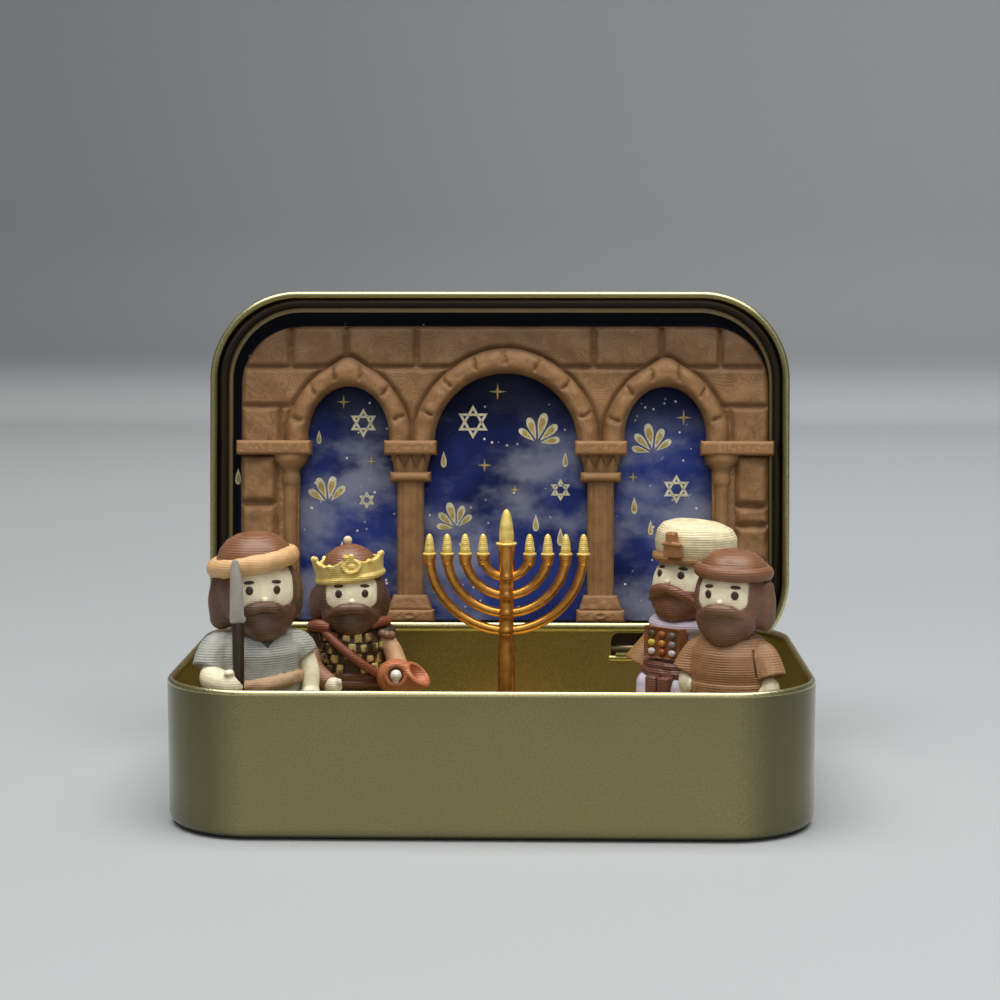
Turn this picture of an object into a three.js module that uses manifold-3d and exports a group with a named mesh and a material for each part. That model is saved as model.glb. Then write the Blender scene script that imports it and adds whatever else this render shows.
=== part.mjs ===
// A hinged pocket tin that opens into a small festival scene: a night-sky card and a
// three-arch arcade inside the lid, a nine-branched lamp and four bearded figures in the tray.
// Millimetres, +Z up, +Y towards the hinge, origin at the centre of the tin's underside.

import * as THREE from 'three';
import { mergeVertices } from 'three/addons/utils/BufferGeometryUtils.js';
import Module from 'manifold-3d';

const wasm = await Module();
wasm.setup();

// Tin, from the standard pocket tin footprint
const TIN_WIDTH = 95;
const TIN_DEPTH = 60.5;
const TIN_HEIGHT = 21.7;
const CORNER = 13.5;
const SHEET = 0.4;
const BASE_EDGE = 1.7;
const RIM_ROLL = 0.9;
const CORNER_STEPS = 5;

// Lid, drawn shut and then swung open about the hinge axis
const LID_GAP = 0.4;
const LID_HEM = 1.0;
const LID_EDGE = 1.8;
const LID_HEADROOM = 0.7;
const LID_LEAN = 6.25;
const HINGE_DROP = 6.2;
const HINGE_INSET = 0.2;
const HEM_ABOVE_AXIS = 0.5;
const BEAD_INSET = 3.9;
const BEAD_RADIUS = 0.45;

// Hinge windows and the curled tongues that hook over their lower bars
const WINDOW_OFFSET = 24.7;
const WINDOW_WIDTH = 11.6;
const WINDOW_TOP = 1.3;
const BAR_RADIUS = 0.5;
const CURL_CLEARANCE = 0.18;
const CURL_START = 42;
const CURL_END = 228;
const TONGUE_PLAY = 0.8;

// Card and arcade in the lid, margins measured from the lid's outside edge
const CARD_INSET = 4.7;
const CARD_THICKNESS = 0.4;
const CARD_GLUE = 0.05;
const PAD_SIZE = 4.5;
const PAD_THICKNESS = 0.5;
const PAD_EDGE = 1;
const PAD_Y = 11;
const PANEL_X = 0.8;
const PANEL_SIDE = 4.7;
const PANEL_ABOVE = 5.65;
const PANEL_UNDER = 8.05;
const PANEL_FOOT = 5;
const PANEL_CORNER = 9;
const WALL_DEPTH = 2.6;
const STONE_DEPTH = 3.3;
const RING_DEPTH = 3.5;
const RING_WIDTH = 3.9;
const IMPOST_DEPTH = 4.3;
const IMPOST_HEIGHT = 2.4;
const IMPOST_OVERHANG = 1;
const IMPOST_REACH = 12.2;
const IMPOST_BELOW_TOP = 19.2;
const SIDE_CROWN_BELOW_TOP = 10.2;
const MID_CROWN_BELOW_TOP = 7.95;
const SIDE_ARCH_STEP = 0.975;
const SIDE_ARCH_OUT = 0.35;
const MID_ARCH_STEP = 2.05;
const COLUMN_X = 16.2;
const COLUMN_SHIFT = 0.6;
const SHAFT_WIDTH = 4.5;
const COLUMN_IMPOST = 8.8;
const CAPITAL_HEIGHT = 3.2;
const CAPITAL_LOW_WIDTH = 5.4;
const CAPITAL_HIGH_WIDTH = 6.8;
const COLLAR_HEIGHT = 1.7;
const COLLAR_WIDTH = 6.9;
const STEP_OUT = 0.3;
const PLINTH_HEIGHT = 1.8;
const PLINTH_WIDTH = 8.2;
const FOOT_HEIGHT = 2.5;
const FOOT_LOW_WIDTH = 7.4;
const FOOT_HIGH_WIDTH = 5.8;
const JAMB_WIDTH = 9.9;
const JAMB_STONE = 6;
const JAMB_JOINT = 0.35;
const POST_INSET = 8.5;
const POST_WIDTH = 2.3;
const CORBEL_DROP = 6.6;
const CORBEL_LOW_WIDTH = 2.4;
const CORBEL_HIGH_WIDTH = 5.2;
const TUCK = 0.2;

// Lamp
const LAMP_X = 2.0;
const LAMP_FROM_FRONT = 27.75;
const LAMP_CUP_Z = 37.6;
const LAMP_RADII = [3.55, 6.3, 9.05, 11.75];
const BRANCH_RADIUS = 0.68;
const STEM_RADIUS = 1.2;
const CUP_RADIUS = 1.05;
const CUP_HEIGHT = 1.5;
const FLAME_RADIUS = 0.85;
const FLAME_HEIGHT = 2.9;
const MID_CUP_Z = 39.2;
const MID_CUP_RADIUS = 1.5;
const MID_CUP_HEIGHT = 2.6;
const MID_FLAME_HEIGHT = 5.1;
const MID_FLAME_RADIUS = 1.2;
const FOOT_RADIUS = 6.2;
const FOOT_PROFILE = [[4.5, 1.8], [2.4, 3.2], [1.45, 6], [1.4, 14]];
const FOOT_RIM = 0.8;

// Figures: places from the tray's sides and front, profiles as [radius, height above its floor]
const GUARD_FROM_SIDE = 13.1;
const GUARD_FROM_FRONT = 14.25;
const GUARD_TURN = 17;
const GUARD_FLAT = 0.82;
const GUARD_SKIRT = [[6.0, 0], [6.2, 9], [6.3, 18.6]];
const GUARD_COAT_LOW = 6.3;
const GUARD_COAT = [[6.4, 22], [6.6, 24.4], [5.2, 27], [2.4, 28.2]];
const GUARD_SHOULDER = [3.0, 3.2, 3.2];
const GUARD_SHOULDER_AT = [5.9, 0, 24.6];
const GUARD_BELT_RADIUS = 6.5;
const GUARD_BELT_HEIGHT = 2.2;
const GUARD_HEAD = [6.6, 6.4, 7.1];
const GUARD_HEAD_AT = [0, 0, 32.6];
const GUARD_FACE_WIDTH = 8.4;
const GUARD_FACE_LOW = 30.2;
const GUARD_FACE_HIGH = 35.9;
const GUARD_BROW_Z = 36.2;
const GUARD_CAP_TILT = 8;
const GUARD_LOCK = [1.7, 2.2, 3.9];
const GUARD_LOCK_AT = [-5.2, 2.2, 31.6];
const GUARD_BEARD = [3.9, 3.0, 3.4];
const GUARD_BEARD_AT = [0.4, -3.6, 28.6];
const GUARD_BAND_RADIUS = 5.55;
const GUARD_BAND_ROLL = 1.42;
const GUARD_BAND_AT = [-0.5, 0, 37.8];
const GUARD_CAP = [6.0, 6.0, 5.2];
const GUARD_CAP_AT = [-0.3, 0, 37.2];
const GUARD_PLUG = [[3.4, 34], [3.4, 39]];
const GUARD_LEFT_ARM = [[-7.3, -0.8, 24.2], [-7.6, -3.4, 21.6], [-4.6, -6.2, 20.6]];
const GUARD_LEFT_ARM_RADIUS = 1.45;
const GUARD_LEFT_HAND = [1.9, 1.6, 1.7];
const GUARD_LEFT_HAND_AT = [-4.0, -6.6, 20.6];
const GUARD_RIGHT_ARM = [[7.4, -0.4, 24.6], [7.9, -1.6, 21.4], [7.4, -2.8, 18.4]];
const GUARD_RIGHT_ARM_RADIUS = 1.3;
const GUARD_RIGHT_HAND = [1.5, 1.5, 1.6];
const GUARD_RIGHT_HAND_AT = [7.3, -2.9, 18.0];
const SPEAR_AT = [-3.7, -6.9];
const SPEAR_RADIUS = 0.85;
const SPEAR_LOW = 0.1;
const SPEAR_HIGH = 29.7;
const BLADE_DEPTH = 1.1;
const BLADE = [[-0.75, 0], [0.75, 0], [1.15, 3.4], [0.95, 7.2], [0.2, 9.1], [-0.55, 9.1], [-1.1, 3.4]];

const KING_FROM_SIDE = 25.5;
const KING_FROM_FRONT = 29.75;
const KING_TURN = 7;
const KING_FLAT = 0.85;
const KING_SKIRT = [[5.2, 0], [5.3, 8], [5.2, 15.9]];
const KING_COAT_LOW = 5.3;
const KING_COAT = [[5.4, 20], [5.5, 23], [4.4, 25.6], [2.2, 26.6]];
const KING_SHOULDER = [2.3, 2.5, 2.4];
const KING_SHOULDER_AT = [4.8, 0, 23.8];
const KING_BELT_RADIUS = 5.3;
const KING_BELT_HEIGHT = 1.8;
const KING_HEAD = [5.8, 5.7, 6.3];
const KING_HEAD_AT = [0, 0, 29.7];
const KING_FACE_WIDTH = 7.4;
const KING_FACE_LOW = 28.2;
const KING_FACE_HIGH = 32.6;
const KING_BROW_Z = 32.6;
const KING_CROWN_TILT = 4;
const KING_LOCK = [1.5, 1.8, 2.6];
const KING_LOCK_AT = [-5.4, 0.4, 28.4];
const KING_BEARD = [3.6, 2.8, 3.2];
const KING_BEARD_AT = [0, -3.3, 26.6];
const CROWN_LOW_RADIUS = 5.0;
const CROWN_HIGH_RADIUS = 5.5;
const CROWN_THICKNESS = 0.75;
const CROWN_HEIGHT = 4.1;
const CROWN_NOTCH = 2.3;
const CROWN_NOTCH_DEPTH = 1.7;
const KING_CAP_LOW = 4.0;
const KING_CAP = [[4.0, 35.6], [3.2, 37.3], [1.4, 38.4], [0.4, 38.6]];
const KING_BALL = [0.8, 0.8, 0.8];
const KING_BALL_AT = [0, 0, 39.0];
const KING_LEFT_ARM = [[-5.3, -0.8, 22.6], [-5.8, -2.6, 19.4], [-3.4, -5.4, 17.0]];
const KING_ARM_RADIUS = 1.2;
const KING_LEFT_HAND = [1.3, 1.3, 1.4];
const KING_LEFT_HAND_AT = [-3.0, -5.8, 16.8];
const KING_RIGHT_ARM = [[5.4, -0.8, 24.4], [6.6, -2.2, 21.4], [7.0, -3.8, 19.2]];
const JUG = [3.0, 2.6, 2.8];
const JUG_AT = [6.6, -4.9, 18.3];
const JUG_NECK = [[7.6, -5.2, 18.6], [9.6, -6.0, 18.8], [11.4, -6.8, 18.8]];
const JUG_NECK_RADIUS = 1.75;
const JUG_MOUTH = [[9.2, -5.85, 18.8], [10.4, -6.35, 18.8], [12.4, -7.2, 18.8]];
const JUG_WALL = 0.55;
const SASH_WIDTH = 1.5;
const SASH_THICKNESS = 0.9;
const SASH_Z = 21.6;
const SASH_LEAN = 38;
const SASH_LEFT = -3.6;
const SASH_RIGHT = 3.9;
const SASH_BACK = -2.6;
const SASH_LOW = 18.9;
const SASH_HIGH = 25;

const PRIEST_FROM_SIDE = 16.9;
const PRIEST_FROM_FRONT = 29.75;
const PRIEST_TURN = -40;
const PRIEST_FLAT = 0.85;
const PRIEST_SKIRT = [[6.1, 0], [5.8, 8], [5.3, 17.5]];
const PRIEST_COAT_LOW = 5.5;
const PRIEST_COAT = [[5.6, 21], [5.6, 24.4], [4.4, 27], [2.2, 28]];
const PRIEST_BELT_RADIUS = 5.4;
const PRIEST_BELT_HEIGHT = 1.7;
const PRIEST_HEAD = [5.9, 5.8, 6.3];
const PRIEST_HEAD_AT = [-0.2, -0.9, 31.2];
const PRIEST_FACE_WIDTH = 7.6;
const PRIEST_FACE_LOW = 30.8;
const PRIEST_FACE_HIGH = 35.0;
const PRIEST_BROW_Z = 34.6;
const PRIEST_BEARD = [3.8, 3.0, 3.5];
const PRIEST_BEARD_AT = [-0.2, -4.3, 28.6];
const BAND_LOW_RADIUS = 5.9;
const BAND_HEIGHT = 1.5;
const BAND = [[6.1, 35.4]];
const TURBAN_LOW_RADIUS = 5.7;
const TURBAN = [[6.3, 38.2], [6.2, 40.2], [5.2, 41.7], [2.6, 42.3]];
const CREST_LEFT = 0.1;
const CREST_WIDTH = 2.2;
const CREST_DEPTH = 0.8;
const CREST_LOW = 37.2;
const CREST_HIGH = 40.0;
const SLEEVE_UPPER = [2.7, 3.2, 4.0];
const SLEEVE_UPPER_AT = [6.1, -0.8, 22.8];
const SLEEVE_LOWER = [2.6, 3.0, 2.5];
const SLEEVE_LOWER_AT = [7.0, -3.2, 20.8];
const PLATE_LEFT = -2.7;
const PLATE_RIGHT = 3.5;
const PLATE_FRONT = -6.3;
const PLATE_BACK = -4.9;
const PLATE_LOW = 20.3;
const PLATE_HIGH = 25.0;
const ENDS_OUTER = 1.9;
const ENDS_INNER = 0.4;
const ENDS_FRONT = -6.2;
const ENDS_BACK = -5.5;
const ENDS_LOW = 9.5;
const ENDS_HIGH = 17.6;
const ENDS_KNOT = 1.2;

const ELDER_FROM_SIDE = 12.3;
const ELDER_FROM_FRONT = 13.65;
const ELDER_TURN = -23;
const ELDER_FLAT = 0.85;
const ELDER_SKIRT = [[5.9, 0], [6.0, 9], [6.1, 18.9]];
const ELDER_COAT_LOW = 6.2;
const ELDER_COAT = [[6.4, 22], [6.2, 24.6], [4.6, 26.9], [2.2, 27.9]];
const ELDER_SLEEVE = [2.9, 3.2, 3.8];
const ELDER_SLEEVE_AT = [5.2, -0.3, 22.8];
const ELDER_HEAD = [5.7, 5.6, 6.6];
const ELDER_HEAD_AT = [0, 0, 32.2];
const ELDER_FACE_WIDTH = 7.4;
const ELDER_FACE_LOW = 30.4;
const ELDER_FACE_HIGH = 34.6;
const ELDER_BROW_Z = 34.9;
const ELDER_LOCK = [1.6, 2.0, 3.9];
const ELDER_LOCK_AT = [5.3, 1.0, 31.6];
const ELDER_BEARD = [3.7, 2.9, 3.6];
const ELDER_BEARD_AT = [0, -3.2, 28.4];
const BRIM_RADIUS = 4.75;
const BRIM_ROLL = 1.3;
const BRIM_Z = 36.3;
const ELDER_CAP = [5.1, 5.1, 3.9];
const ELDER_PLUG_RADIUS = 2.9;
const ELDER_PLUG_HIGH = 38;
const ELDER_LEFT_HAND = [1.5, 1.6, 2.2];
const ELDER_LEFT_HAND_AT = [-6.4, -1.6, 19.4];
const ELDER_RIGHT_HAND = [1.6, 1.7, 2.2];
const ELDER_RIGHT_HAND_AT = [6.2, -1.4, 18.8];

const BELT_RISE = 0.4;
const BELT_THICKNESS = 0.75;
const FACE_DEPTH = 2.6;
const FACE_REACH = 5;

// Gap between neighbouring colour bodies, and under pieces that stand in the tray
const FIT = 0.3;
const REST = 0.05;

const AXIS_Y = TIN_DEPTH / 2 - HINGE_INSET;
const AXIS_Z = TIN_HEIGHT - HINGE_DROP;
const LID_OVER = LID_GAP + LID_HEM;
const LID_WIDTH = TIN_WIDTH + 2 * LID_OVER;
const LID_LENGTH = TIN_DEPTH + 2 * LID_OVER;
const LID_CORNER = CORNER + LID_OVER;
const HEM_Z = AXIS_Z + HEM_ABOVE_AXIS;
const PLATE_Z = TIN_HEIGHT + LID_HEADROOM;
const LID_TOP = PLATE_Z + SHEET;
const STAND_Z = SHEET + REST;
const PANEL_HALF = LID_WIDTH / 2 - PANEL_SIDE;
const PANEL_TOP = LID_LENGTH / 2 - PANEL_ABOVE;
const PANEL_BOTTOM = PANEL_UNDER - LID_LENGTH / 2;
const IMPOST_HIGH = PANEL_TOP - IMPOST_BELOW_TOP;
const IMPOST_LOW = IMPOST_HIGH - IMPOST_HEIGHT;
const JAMB_INNER = PANEL_HALF - JAMB_WIDTH;

const palette = {
  tin: ['#6e6a47', 0.42, 0.75],
  card: ['#2b3468', 0.75, 0],
  tape: ['#d9d5c8', 0.8, 0],
  arcade: ['#85664a', 0.6, 0],
  lampGold: ['#b8862b', 0.25, 0.9],
  flame: ['#e0b83f', 0.35, 0.6],
  skin: ['#ead9b5', 0.55, 0],
  hair: ['#4a3328', 0.5, 0],
  capBrown: ['#6b4231', 0.5, 0],
  tan: ['#b5855b', 0.55, 0],
  grey: ['#84837f', 0.55, 0],
  steel: ['#b9bab9', 0.45, 0],
  darkWood: ['#4b3b2b', 0.55, 0],
  crown: ['#c9a13c', 0.35, 0.5],
  armour: ['#4a3526', 0.5, 0],
  rust: ['#7a3d26', 0.5, 0],
  terracotta: ['#9a4a2c', 0.5, 0],
  cream: ['#ece0bd', 0.55, 0],
  lilac: ['#cfc5d6', 0.55, 0],
  cloak: ['#80583b', 0.5, 0],
  plate: ['#7a4a2a', 0.45, 0],
  redBrown: ['#4e2a20', 0.4, 0],
  robe: ['#6f503a', 0.55, 0],
};

// Booleans on three.js geometries
function toSolid(geometry) {
  const bare = geometry.index ? geometry.toNonIndexed() : geometry.clone();
  for (const name of Object.keys(bare.attributes)) {
    if (name !== 'position') bare.deleteAttribute(name);
  }
  const merged = mergeVertices(bare, 1e-4);
  const p = merged.attributes.position.array;
  const index = merged.index.array;
  const kept = [];
  let volume = 0;
  for (let i = 0; i < index.length; i += 3) {
    const [a, b, c] = [index[i], index[i + 1], index[i + 2]];
    if (a === b || b === c || a === c) continue;
    kept.push(a, b, c);
    const va = new THREE.Vector3(p[3 * a], p[3 * a + 1], p[3 * a + 2]);
    const vb = new THREE.Vector3(p[3 * b], p[3 * b + 1], p[3 * b + 2]);
    const vc = new THREE.Vector3(p[3 * c], p[3 * c + 1], p[3 * c + 2]);
    volume += va.dot(vb.cross(vc));
  }
  if (volume < 0) kept.reverse();
  return new wasm.Manifold(new wasm.Mesh({
    numProp: 3,
    vertProperties: Float32Array.from(p),
    triVerts: Uint32Array.from(kept),
  }));
}

function toGeometry(solid) {
  const mesh = solid.getMesh();
  const geometry = new THREE.BufferGeometry();
  geometry.setAttribute('position', new THREE.BufferAttribute(Float32Array.from(mesh.vertProperties), 3));
  geometry.setIndex(Array.from(mesh.triVerts));
  return geometry;
}

function join(first, ...others) {
  return toGeometry(others.reduce((sum, other) => sum.add(toSolid(other)), toSolid(first)));
}

function cut(first, ...others) {
  return toGeometry(others.reduce((sum, other) => sum.subtract(toSolid(other)), toSolid(first)));
}

function common(first, second) {
  return toGeometry(toSolid(first).intersect(toSolid(second)));
}

// Basic forms, each placed where it belongs
function box(x0, x1, y0, y1, z0, z1) {
  return new THREE.BoxGeometry(x1 - x0, y1 - y0, z1 - z0)
    .translate((x0 + x1) / 2, (y0 + y1) / 2, (z0 + z1) / 2);
}

function ball(radii, at, grow = 0, steps = 10) {
  return new THREE.SphereGeometry(1, steps, Math.round(steps * 0.6))
    .rotateX(Math.PI / 2)
    .scale(radii[0] + grow, radii[1] + grow, radii[2] + grow)
    .translate(...at);
}

function turned(profile, { sx = 1, sy = 1, grow = 0, steps = 14 } = {}) {
  const points = profile.map(([r, z]) => new THREE.Vector2(r === 0 ? 0 : r + grow, z));
  points[0].y -= grow;
  points[points.length - 1].y += grow;
  points.unshift(new THREE.Vector2(0, points[0].y));
  points.push(new THREE.Vector2(0, points[points.length - 1].y));
  return new THREE.LatheGeometry(points, steps).rotateX(Math.PI / 2).scale(sx, sy, 1);
}

function ring(profile, { sx = 1, sy = 1, steps = 14 } = {}) {
  const points = [...profile, profile[0]].map(([r, z]) => new THREE.Vector2(r, z));
  return new THREE.LatheGeometry(points, steps).rotateX(Math.PI / 2).scale(sx, sy, 1);
}

function circleProfile(r, z, radius, steps = 7) {
  return Array.from({ length: steps }, (_, i) => {
    const a = (2 * Math.PI * i) / steps;
    return [r + radius * Math.cos(a), z + radius * Math.sin(a)];
  });
}

function rod(points, radius, halfSides = 3, steps = 4) {
  const path = new THREE.CatmullRomCurve3(points.map((p) => new THREE.Vector3(...p)));
  const outline = new THREE.Shape();
  outline.absarc(0, 0, radius, 0, 2 * Math.PI);
  return new THREE.ExtrudeGeometry(outline, { steps, extrudePath: path, curveSegments: halfSides });
}

// Closed wall profile of [inset, z] points carried round a rounded rectangle
function wallRing(profile, width, depth, corner) {
  const step = Math.PI / (2 * CORNER_STEPS);
  const points = [...profile, profile[0]]
    .map(([inset, z]) => new THREE.Vector2((corner - inset) / Math.cos(step / 2), z));
  const geometry = new THREE.LatheGeometry(points, 4 * CORNER_STEPS, step / 2).rotateX(Math.PI / 2);
  const position = geometry.attributes.position;
  for (let i = 0; i < position.count; i += 1) {
    const x = position.getX(i);
    const y = position.getY(i);
    position.setX(i, x + Math.sign(x) * (width / 2 - corner));
    position.setY(i, y + Math.sign(y) * (depth / 2 - corner));
  }
  return geometry;
}

function roundedPlate(width, depth, corner, z0, z1) {
  const outline = new THREE.Shape();
  const x = width / 2 - corner;
  const y = depth / 2 - corner;
  outline.absarc(x, y, corner, 0, Math.PI / 2);
  outline.absarc(-x, y, corner, Math.PI / 2, Math.PI);
  outline.absarc(-x, -y, corner, Math.PI, 1.5 * Math.PI);
  outline.absarc(x, -y, corner, 1.5 * Math.PI, 2 * Math.PI);
  return new THREE.ExtrudeGeometry(outline, { depth: z1 - z0, bevelEnabled: false, curveSegments: 6 })
    .translate(0, 0, z0);
}

function arc(inset, z, radius, from, to, steps) {
  return Array.from({ length: steps + 1 }, (_, i) => {
    const a = THREE.MathUtils.degToRad(from + ((to - from) * i) / steps);
    return [inset + radius * Math.cos(a), z + radius * Math.sin(a)];
  });
}

const tin = new THREE.Group();

function piece(parent, name, look, geometry) {
  const [colour, roughness, metalness] = palette[look];
  geometry.computeVertexNormals();
  const finish = new THREE.MeshStandardMaterial({ color: colour, roughness, metalness });
  const mesh = new THREE.Mesh(geometry, finish);
  mesh.name = name;
  parent.add(mesh);
  return mesh;
}

// Tray: one pressed sheet with an inward rolled rim, two hinge windows and their bars
const rollCentre = TIN_HEIGHT - RIM_ROLL / 2;
const baseWall = wallRing([
  [BASE_EDGE, 0],
  [BASE_EDGE * 0.5, BASE_EDGE * 0.13],
  [BASE_EDGE * 0.13, BASE_EDGE * 0.5],
  [0, BASE_EDGE],
  ...arc(RIM_ROLL / 2, rollCentre, RIM_ROLL / 2, 180, -45, 6),
  [SHEET, rollCentre - RIM_ROLL * 0.75],
  [SHEET, BASE_EDGE],
  [SHEET + 0.4, SHEET + 0.5],
  [BASE_EDGE, SHEET],
], TIN_WIDTH, TIN_DEPTH, CORNER);
const floorOverlap = 0.6;
const floorInset = BASE_EDGE - floorOverlap * 0.5;
const trayFloor = roundedPlate(
  TIN_WIDTH - 2 * floorInset, TIN_DEPTH - 2 * floorInset, CORNER - floorInset, 0.02, SHEET,
);
const underside = roundedPlate(
  TIN_WIDTH - 2 * BASE_EDGE, TIN_DEPTH - 2 * BASE_EDGE, CORNER - BASE_EDGE, 0, SHEET,
);
const windows = [-1, 1].map((side) => box(
  side * WINDOW_OFFSET - WINDOW_WIDTH / 2, side * WINDOW_OFFSET + WINDOW_WIDTH / 2,
  AXIS_Y - 2, AXIS_Y + 2, AXIS_Z, TIN_HEIGHT - WINDOW_TOP,
));
const bars = [-1, 1].map((side) => new THREE.CylinderGeometry(BAR_RADIUS, BAR_RADIUS, WINDOW_WIDTH + 0.2, 12)
  .rotateZ(Math.PI / 2)
  .translate(side * WINDOW_OFFSET, AXIS_Y, AXIS_Z));
piece(tin, 'tin_base', 'tin', join(cut(join(baseWall, trayFloor, underside), ...windows), ...bars));

// Lid: one pressed sheet with an inward hem, a bead round the panel and two curled tongues
const lidGroup = new THREE.Group();
lidGroup.position.set(0, AXIS_Y, AXIS_Z);
lidGroup.rotation.x = -THREE.MathUtils.degToRad(90 + LID_LEAN);
tin.add(lidGroup);
const lid = new THREE.Group();
lid.position.set(0, -AXIS_Y, -AXIS_Z);
lidGroup.add(lid);

const hemCentre = HEM_Z + LID_HEM / 2;
const lidWall = wallRing([
  [LID_EDGE, LID_TOP],
  [LID_EDGE * 0.5, LID_TOP - LID_EDGE * 0.13],
  [LID_EDGE * 0.13, LID_TOP - LID_EDGE * 0.5],
  [0, LID_TOP - LID_EDGE],
  ...arc(LID_HEM / 2, hemCentre, LID_HEM / 2, 180, 405, 6),
  [SHEET, hemCentre + LID_HEM * 0.8],
  [SHEET, LID_TOP - LID_EDGE],
  [LID_EDGE * 0.5 + 0.25, PLATE_Z - 0.35],
  [LID_EDGE + 0.3, PLATE_Z],
], LID_WIDTH, LID_LENGTH, LID_CORNER);
const plateInset = LID_EDGE;
const lidPlate = roundedPlate(
  LID_WIDTH - 2 * plateInset, LID_LENGTH - 2 * plateInset, LID_CORNER - plateInset, PLATE_Z, LID_TOP,
);
const bead = wallRing(
  circleProfile(BEAD_INSET, PLATE_Z, BEAD_RADIUS, 6), LID_WIDTH, LID_LENGTH, LID_CORNER,
);
const curlInner = BAR_RADIUS + CURL_CLEARANCE;
const curlOuter = curlInner + SHEET;
const tongueWidth = WINDOW_WIDTH - 2 * TONGUE_PLAY;
const curlShape = new THREE.Shape([
  ...arc(0, 0, curlOuter, CURL_START, CURL_END, 14),
  ...arc(0, 0, curlInner, CURL_END, CURL_START, 14),
].map(([y, z]) => new THREE.Vector2(y, z)));
const tongues = [-1, 1].map((side) => new THREE.ExtrudeGeometry(curlShape, {
  depth: tongueWidth, bevelEnabled: false,
})
  .rotateY(Math.PI / 2)
  .rotateX(Math.PI / 2)
  .translate(side * WINDOW_OFFSET - tongueWidth / 2, AXIS_Y, AXIS_Z));
const necks = [-1, 1].map((side) => box(
  side * WINDOW_OFFSET - tongueWidth / 2, side * WINDOW_OFFSET + tongueWidth / 2,
  AXIS_Y + curlInner * 0.75, AXIS_Y + HINGE_INSET + LID_OVER - SHEET / 2,
  AXIS_Z + curlInner, AXIS_Z + curlInner + SHEET,
));
piece(lid, 'tin_lid', 'tin', join(lidWall, lidPlate, bead, ...tongues, ...necks));

// Card on the lid's plate, pads, and the arcade standing off them
const cardTop = PLATE_Z - CARD_GLUE;
const cardFace = cardTop - CARD_THICKNESS;
piece(lid, 'sky_card', 'card', roundedPlate(
  LID_WIDTH - 2 * CARD_INSET, LID_LENGTH - 2 * CARD_INSET, LID_CORNER - CARD_INSET, cardFace, cardTop,
));
const padFace = cardFace - CARD_GLUE - PAD_THICKNESS;
const panelBack = padFace - CARD_GLUE;
[[-1, -1], [1, -1], [-1, 1], [1, 1]].forEach(([sx, sy], i) => {
  const x = PANEL_X + sx * (PANEL_HALF - PAD_SIZE / 2 - PAD_EDGE);
  const y = sy * PAD_Y;
  piece(lid, `panel_pad_${i + 1}`, 'tape', box(
    x - PAD_SIZE / 2, x + PAD_SIZE / 2, y - PAD_SIZE, y + PAD_SIZE, padFace, padFace + PAD_THICKNESS,
  ));
});

// Arcade outlines are drawn as seen: x to the right, h up the open lid, depth towards the viewer
function relief(outline, depth) {
  const geometry = new THREE.ExtrudeGeometry(outline, { depth, bevelEnabled: false, curveSegments: 7 });
  return geometry.rotateX(Math.PI).translate(PANEL_X, 0, panelBack);
}

function slab(x0, x1, h0, h1, depth) {
  const corners = [[x0, h0], [x1, h0], [x1, h1], [x0, h1]];
  return relief(new THREE.Shape(corners.map(([x, h]) => new THREE.Vector2(x, h))), depth);
}

function taper(x, low, high, widthLow, widthHigh, depth) {
  return relief(new THREE.Shape([
    new THREE.Vector2(x - widthLow / 2, low), new THREE.Vector2(x + widthLow / 2, low),
    new THREE.Vector2(x + widthHigh / 2, high), new THREE.Vector2(x - widthHigh / 2, high),
  ]), depth);
}

const columnSpots = [-COLUMN_X, COLUMN_X + COLUMN_SHIFT];
const shaftEdges = columnSpots.map((x) => [x - SHAFT_WIDTH / 2, x + SHAFT_WIDTH / 2]);
const bayEdges = [
  [-JAMB_INNER, shaftEdges[0][0]],
  [shaftEdges[0][1], shaftEdges[1][0]],
  [shaftEdges[1][1], JAMB_INNER],
];
const sideRadius = (JAMB_INNER - COLUMN_X - SHAFT_WIDTH / 2) / 2 - SIDE_ARCH_STEP;
const sideCentre = (JAMB_INNER + COLUMN_X + SHAFT_WIDTH / 2) / 2 + SIDE_ARCH_OUT;
const midRadius = (shaftEdges[1][0] - shaftEdges[0][1]) / 2 - MID_ARCH_STEP;
const sideCrown = PANEL_TOP - SIDE_CROWN_BELOW_TOP;
const arches = [
  { x: -sideCentre, radius: sideRadius, crown: sideCrown },
  { x: COLUMN_SHIFT, radius: midRadius, crown: PANEL_TOP - MID_CROWN_BELOW_TOP },
  { x: sideCentre + COLUMN_SHIFT / 2, radius: sideRadius, crown: sideCrown },
];

function archOutline(x, radius, spring, low) {
  const outline = new THREE.Shape();
  outline.moveTo(x - radius, low);
  outline.lineTo(x + radius, low);
  outline.lineTo(x + radius, spring);
  outline.absarc(x, spring, radius, 0, Math.PI);
  outline.lineTo(x - radius, low);
  return outline;
}

const wallOutline = new THREE.Shape();
wallOutline.moveTo(-PANEL_HALF + PANEL_FOOT, PANEL_BOTTOM);
wallOutline.lineTo(PANEL_HALF - PANEL_FOOT, PANEL_BOTTOM);
wallOutline.lineTo(PANEL_HALF, PANEL_BOTTOM + PANEL_FOOT);
wallOutline.lineTo(PANEL_HALF, PANEL_TOP - PANEL_CORNER);
wallOutline.absarc(PANEL_HALF - PANEL_CORNER, PANEL_TOP - PANEL_CORNER, PANEL_CORNER, 0, Math.PI / 2);
wallOutline.absarc(-PANEL_HALF + PANEL_CORNER, PANEL_TOP - PANEL_CORNER, PANEL_CORNER, Math.PI / 2, Math.PI);
wallOutline.lineTo(-PANEL_HALF, PANEL_BOTTOM + PANEL_FOOT);

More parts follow.
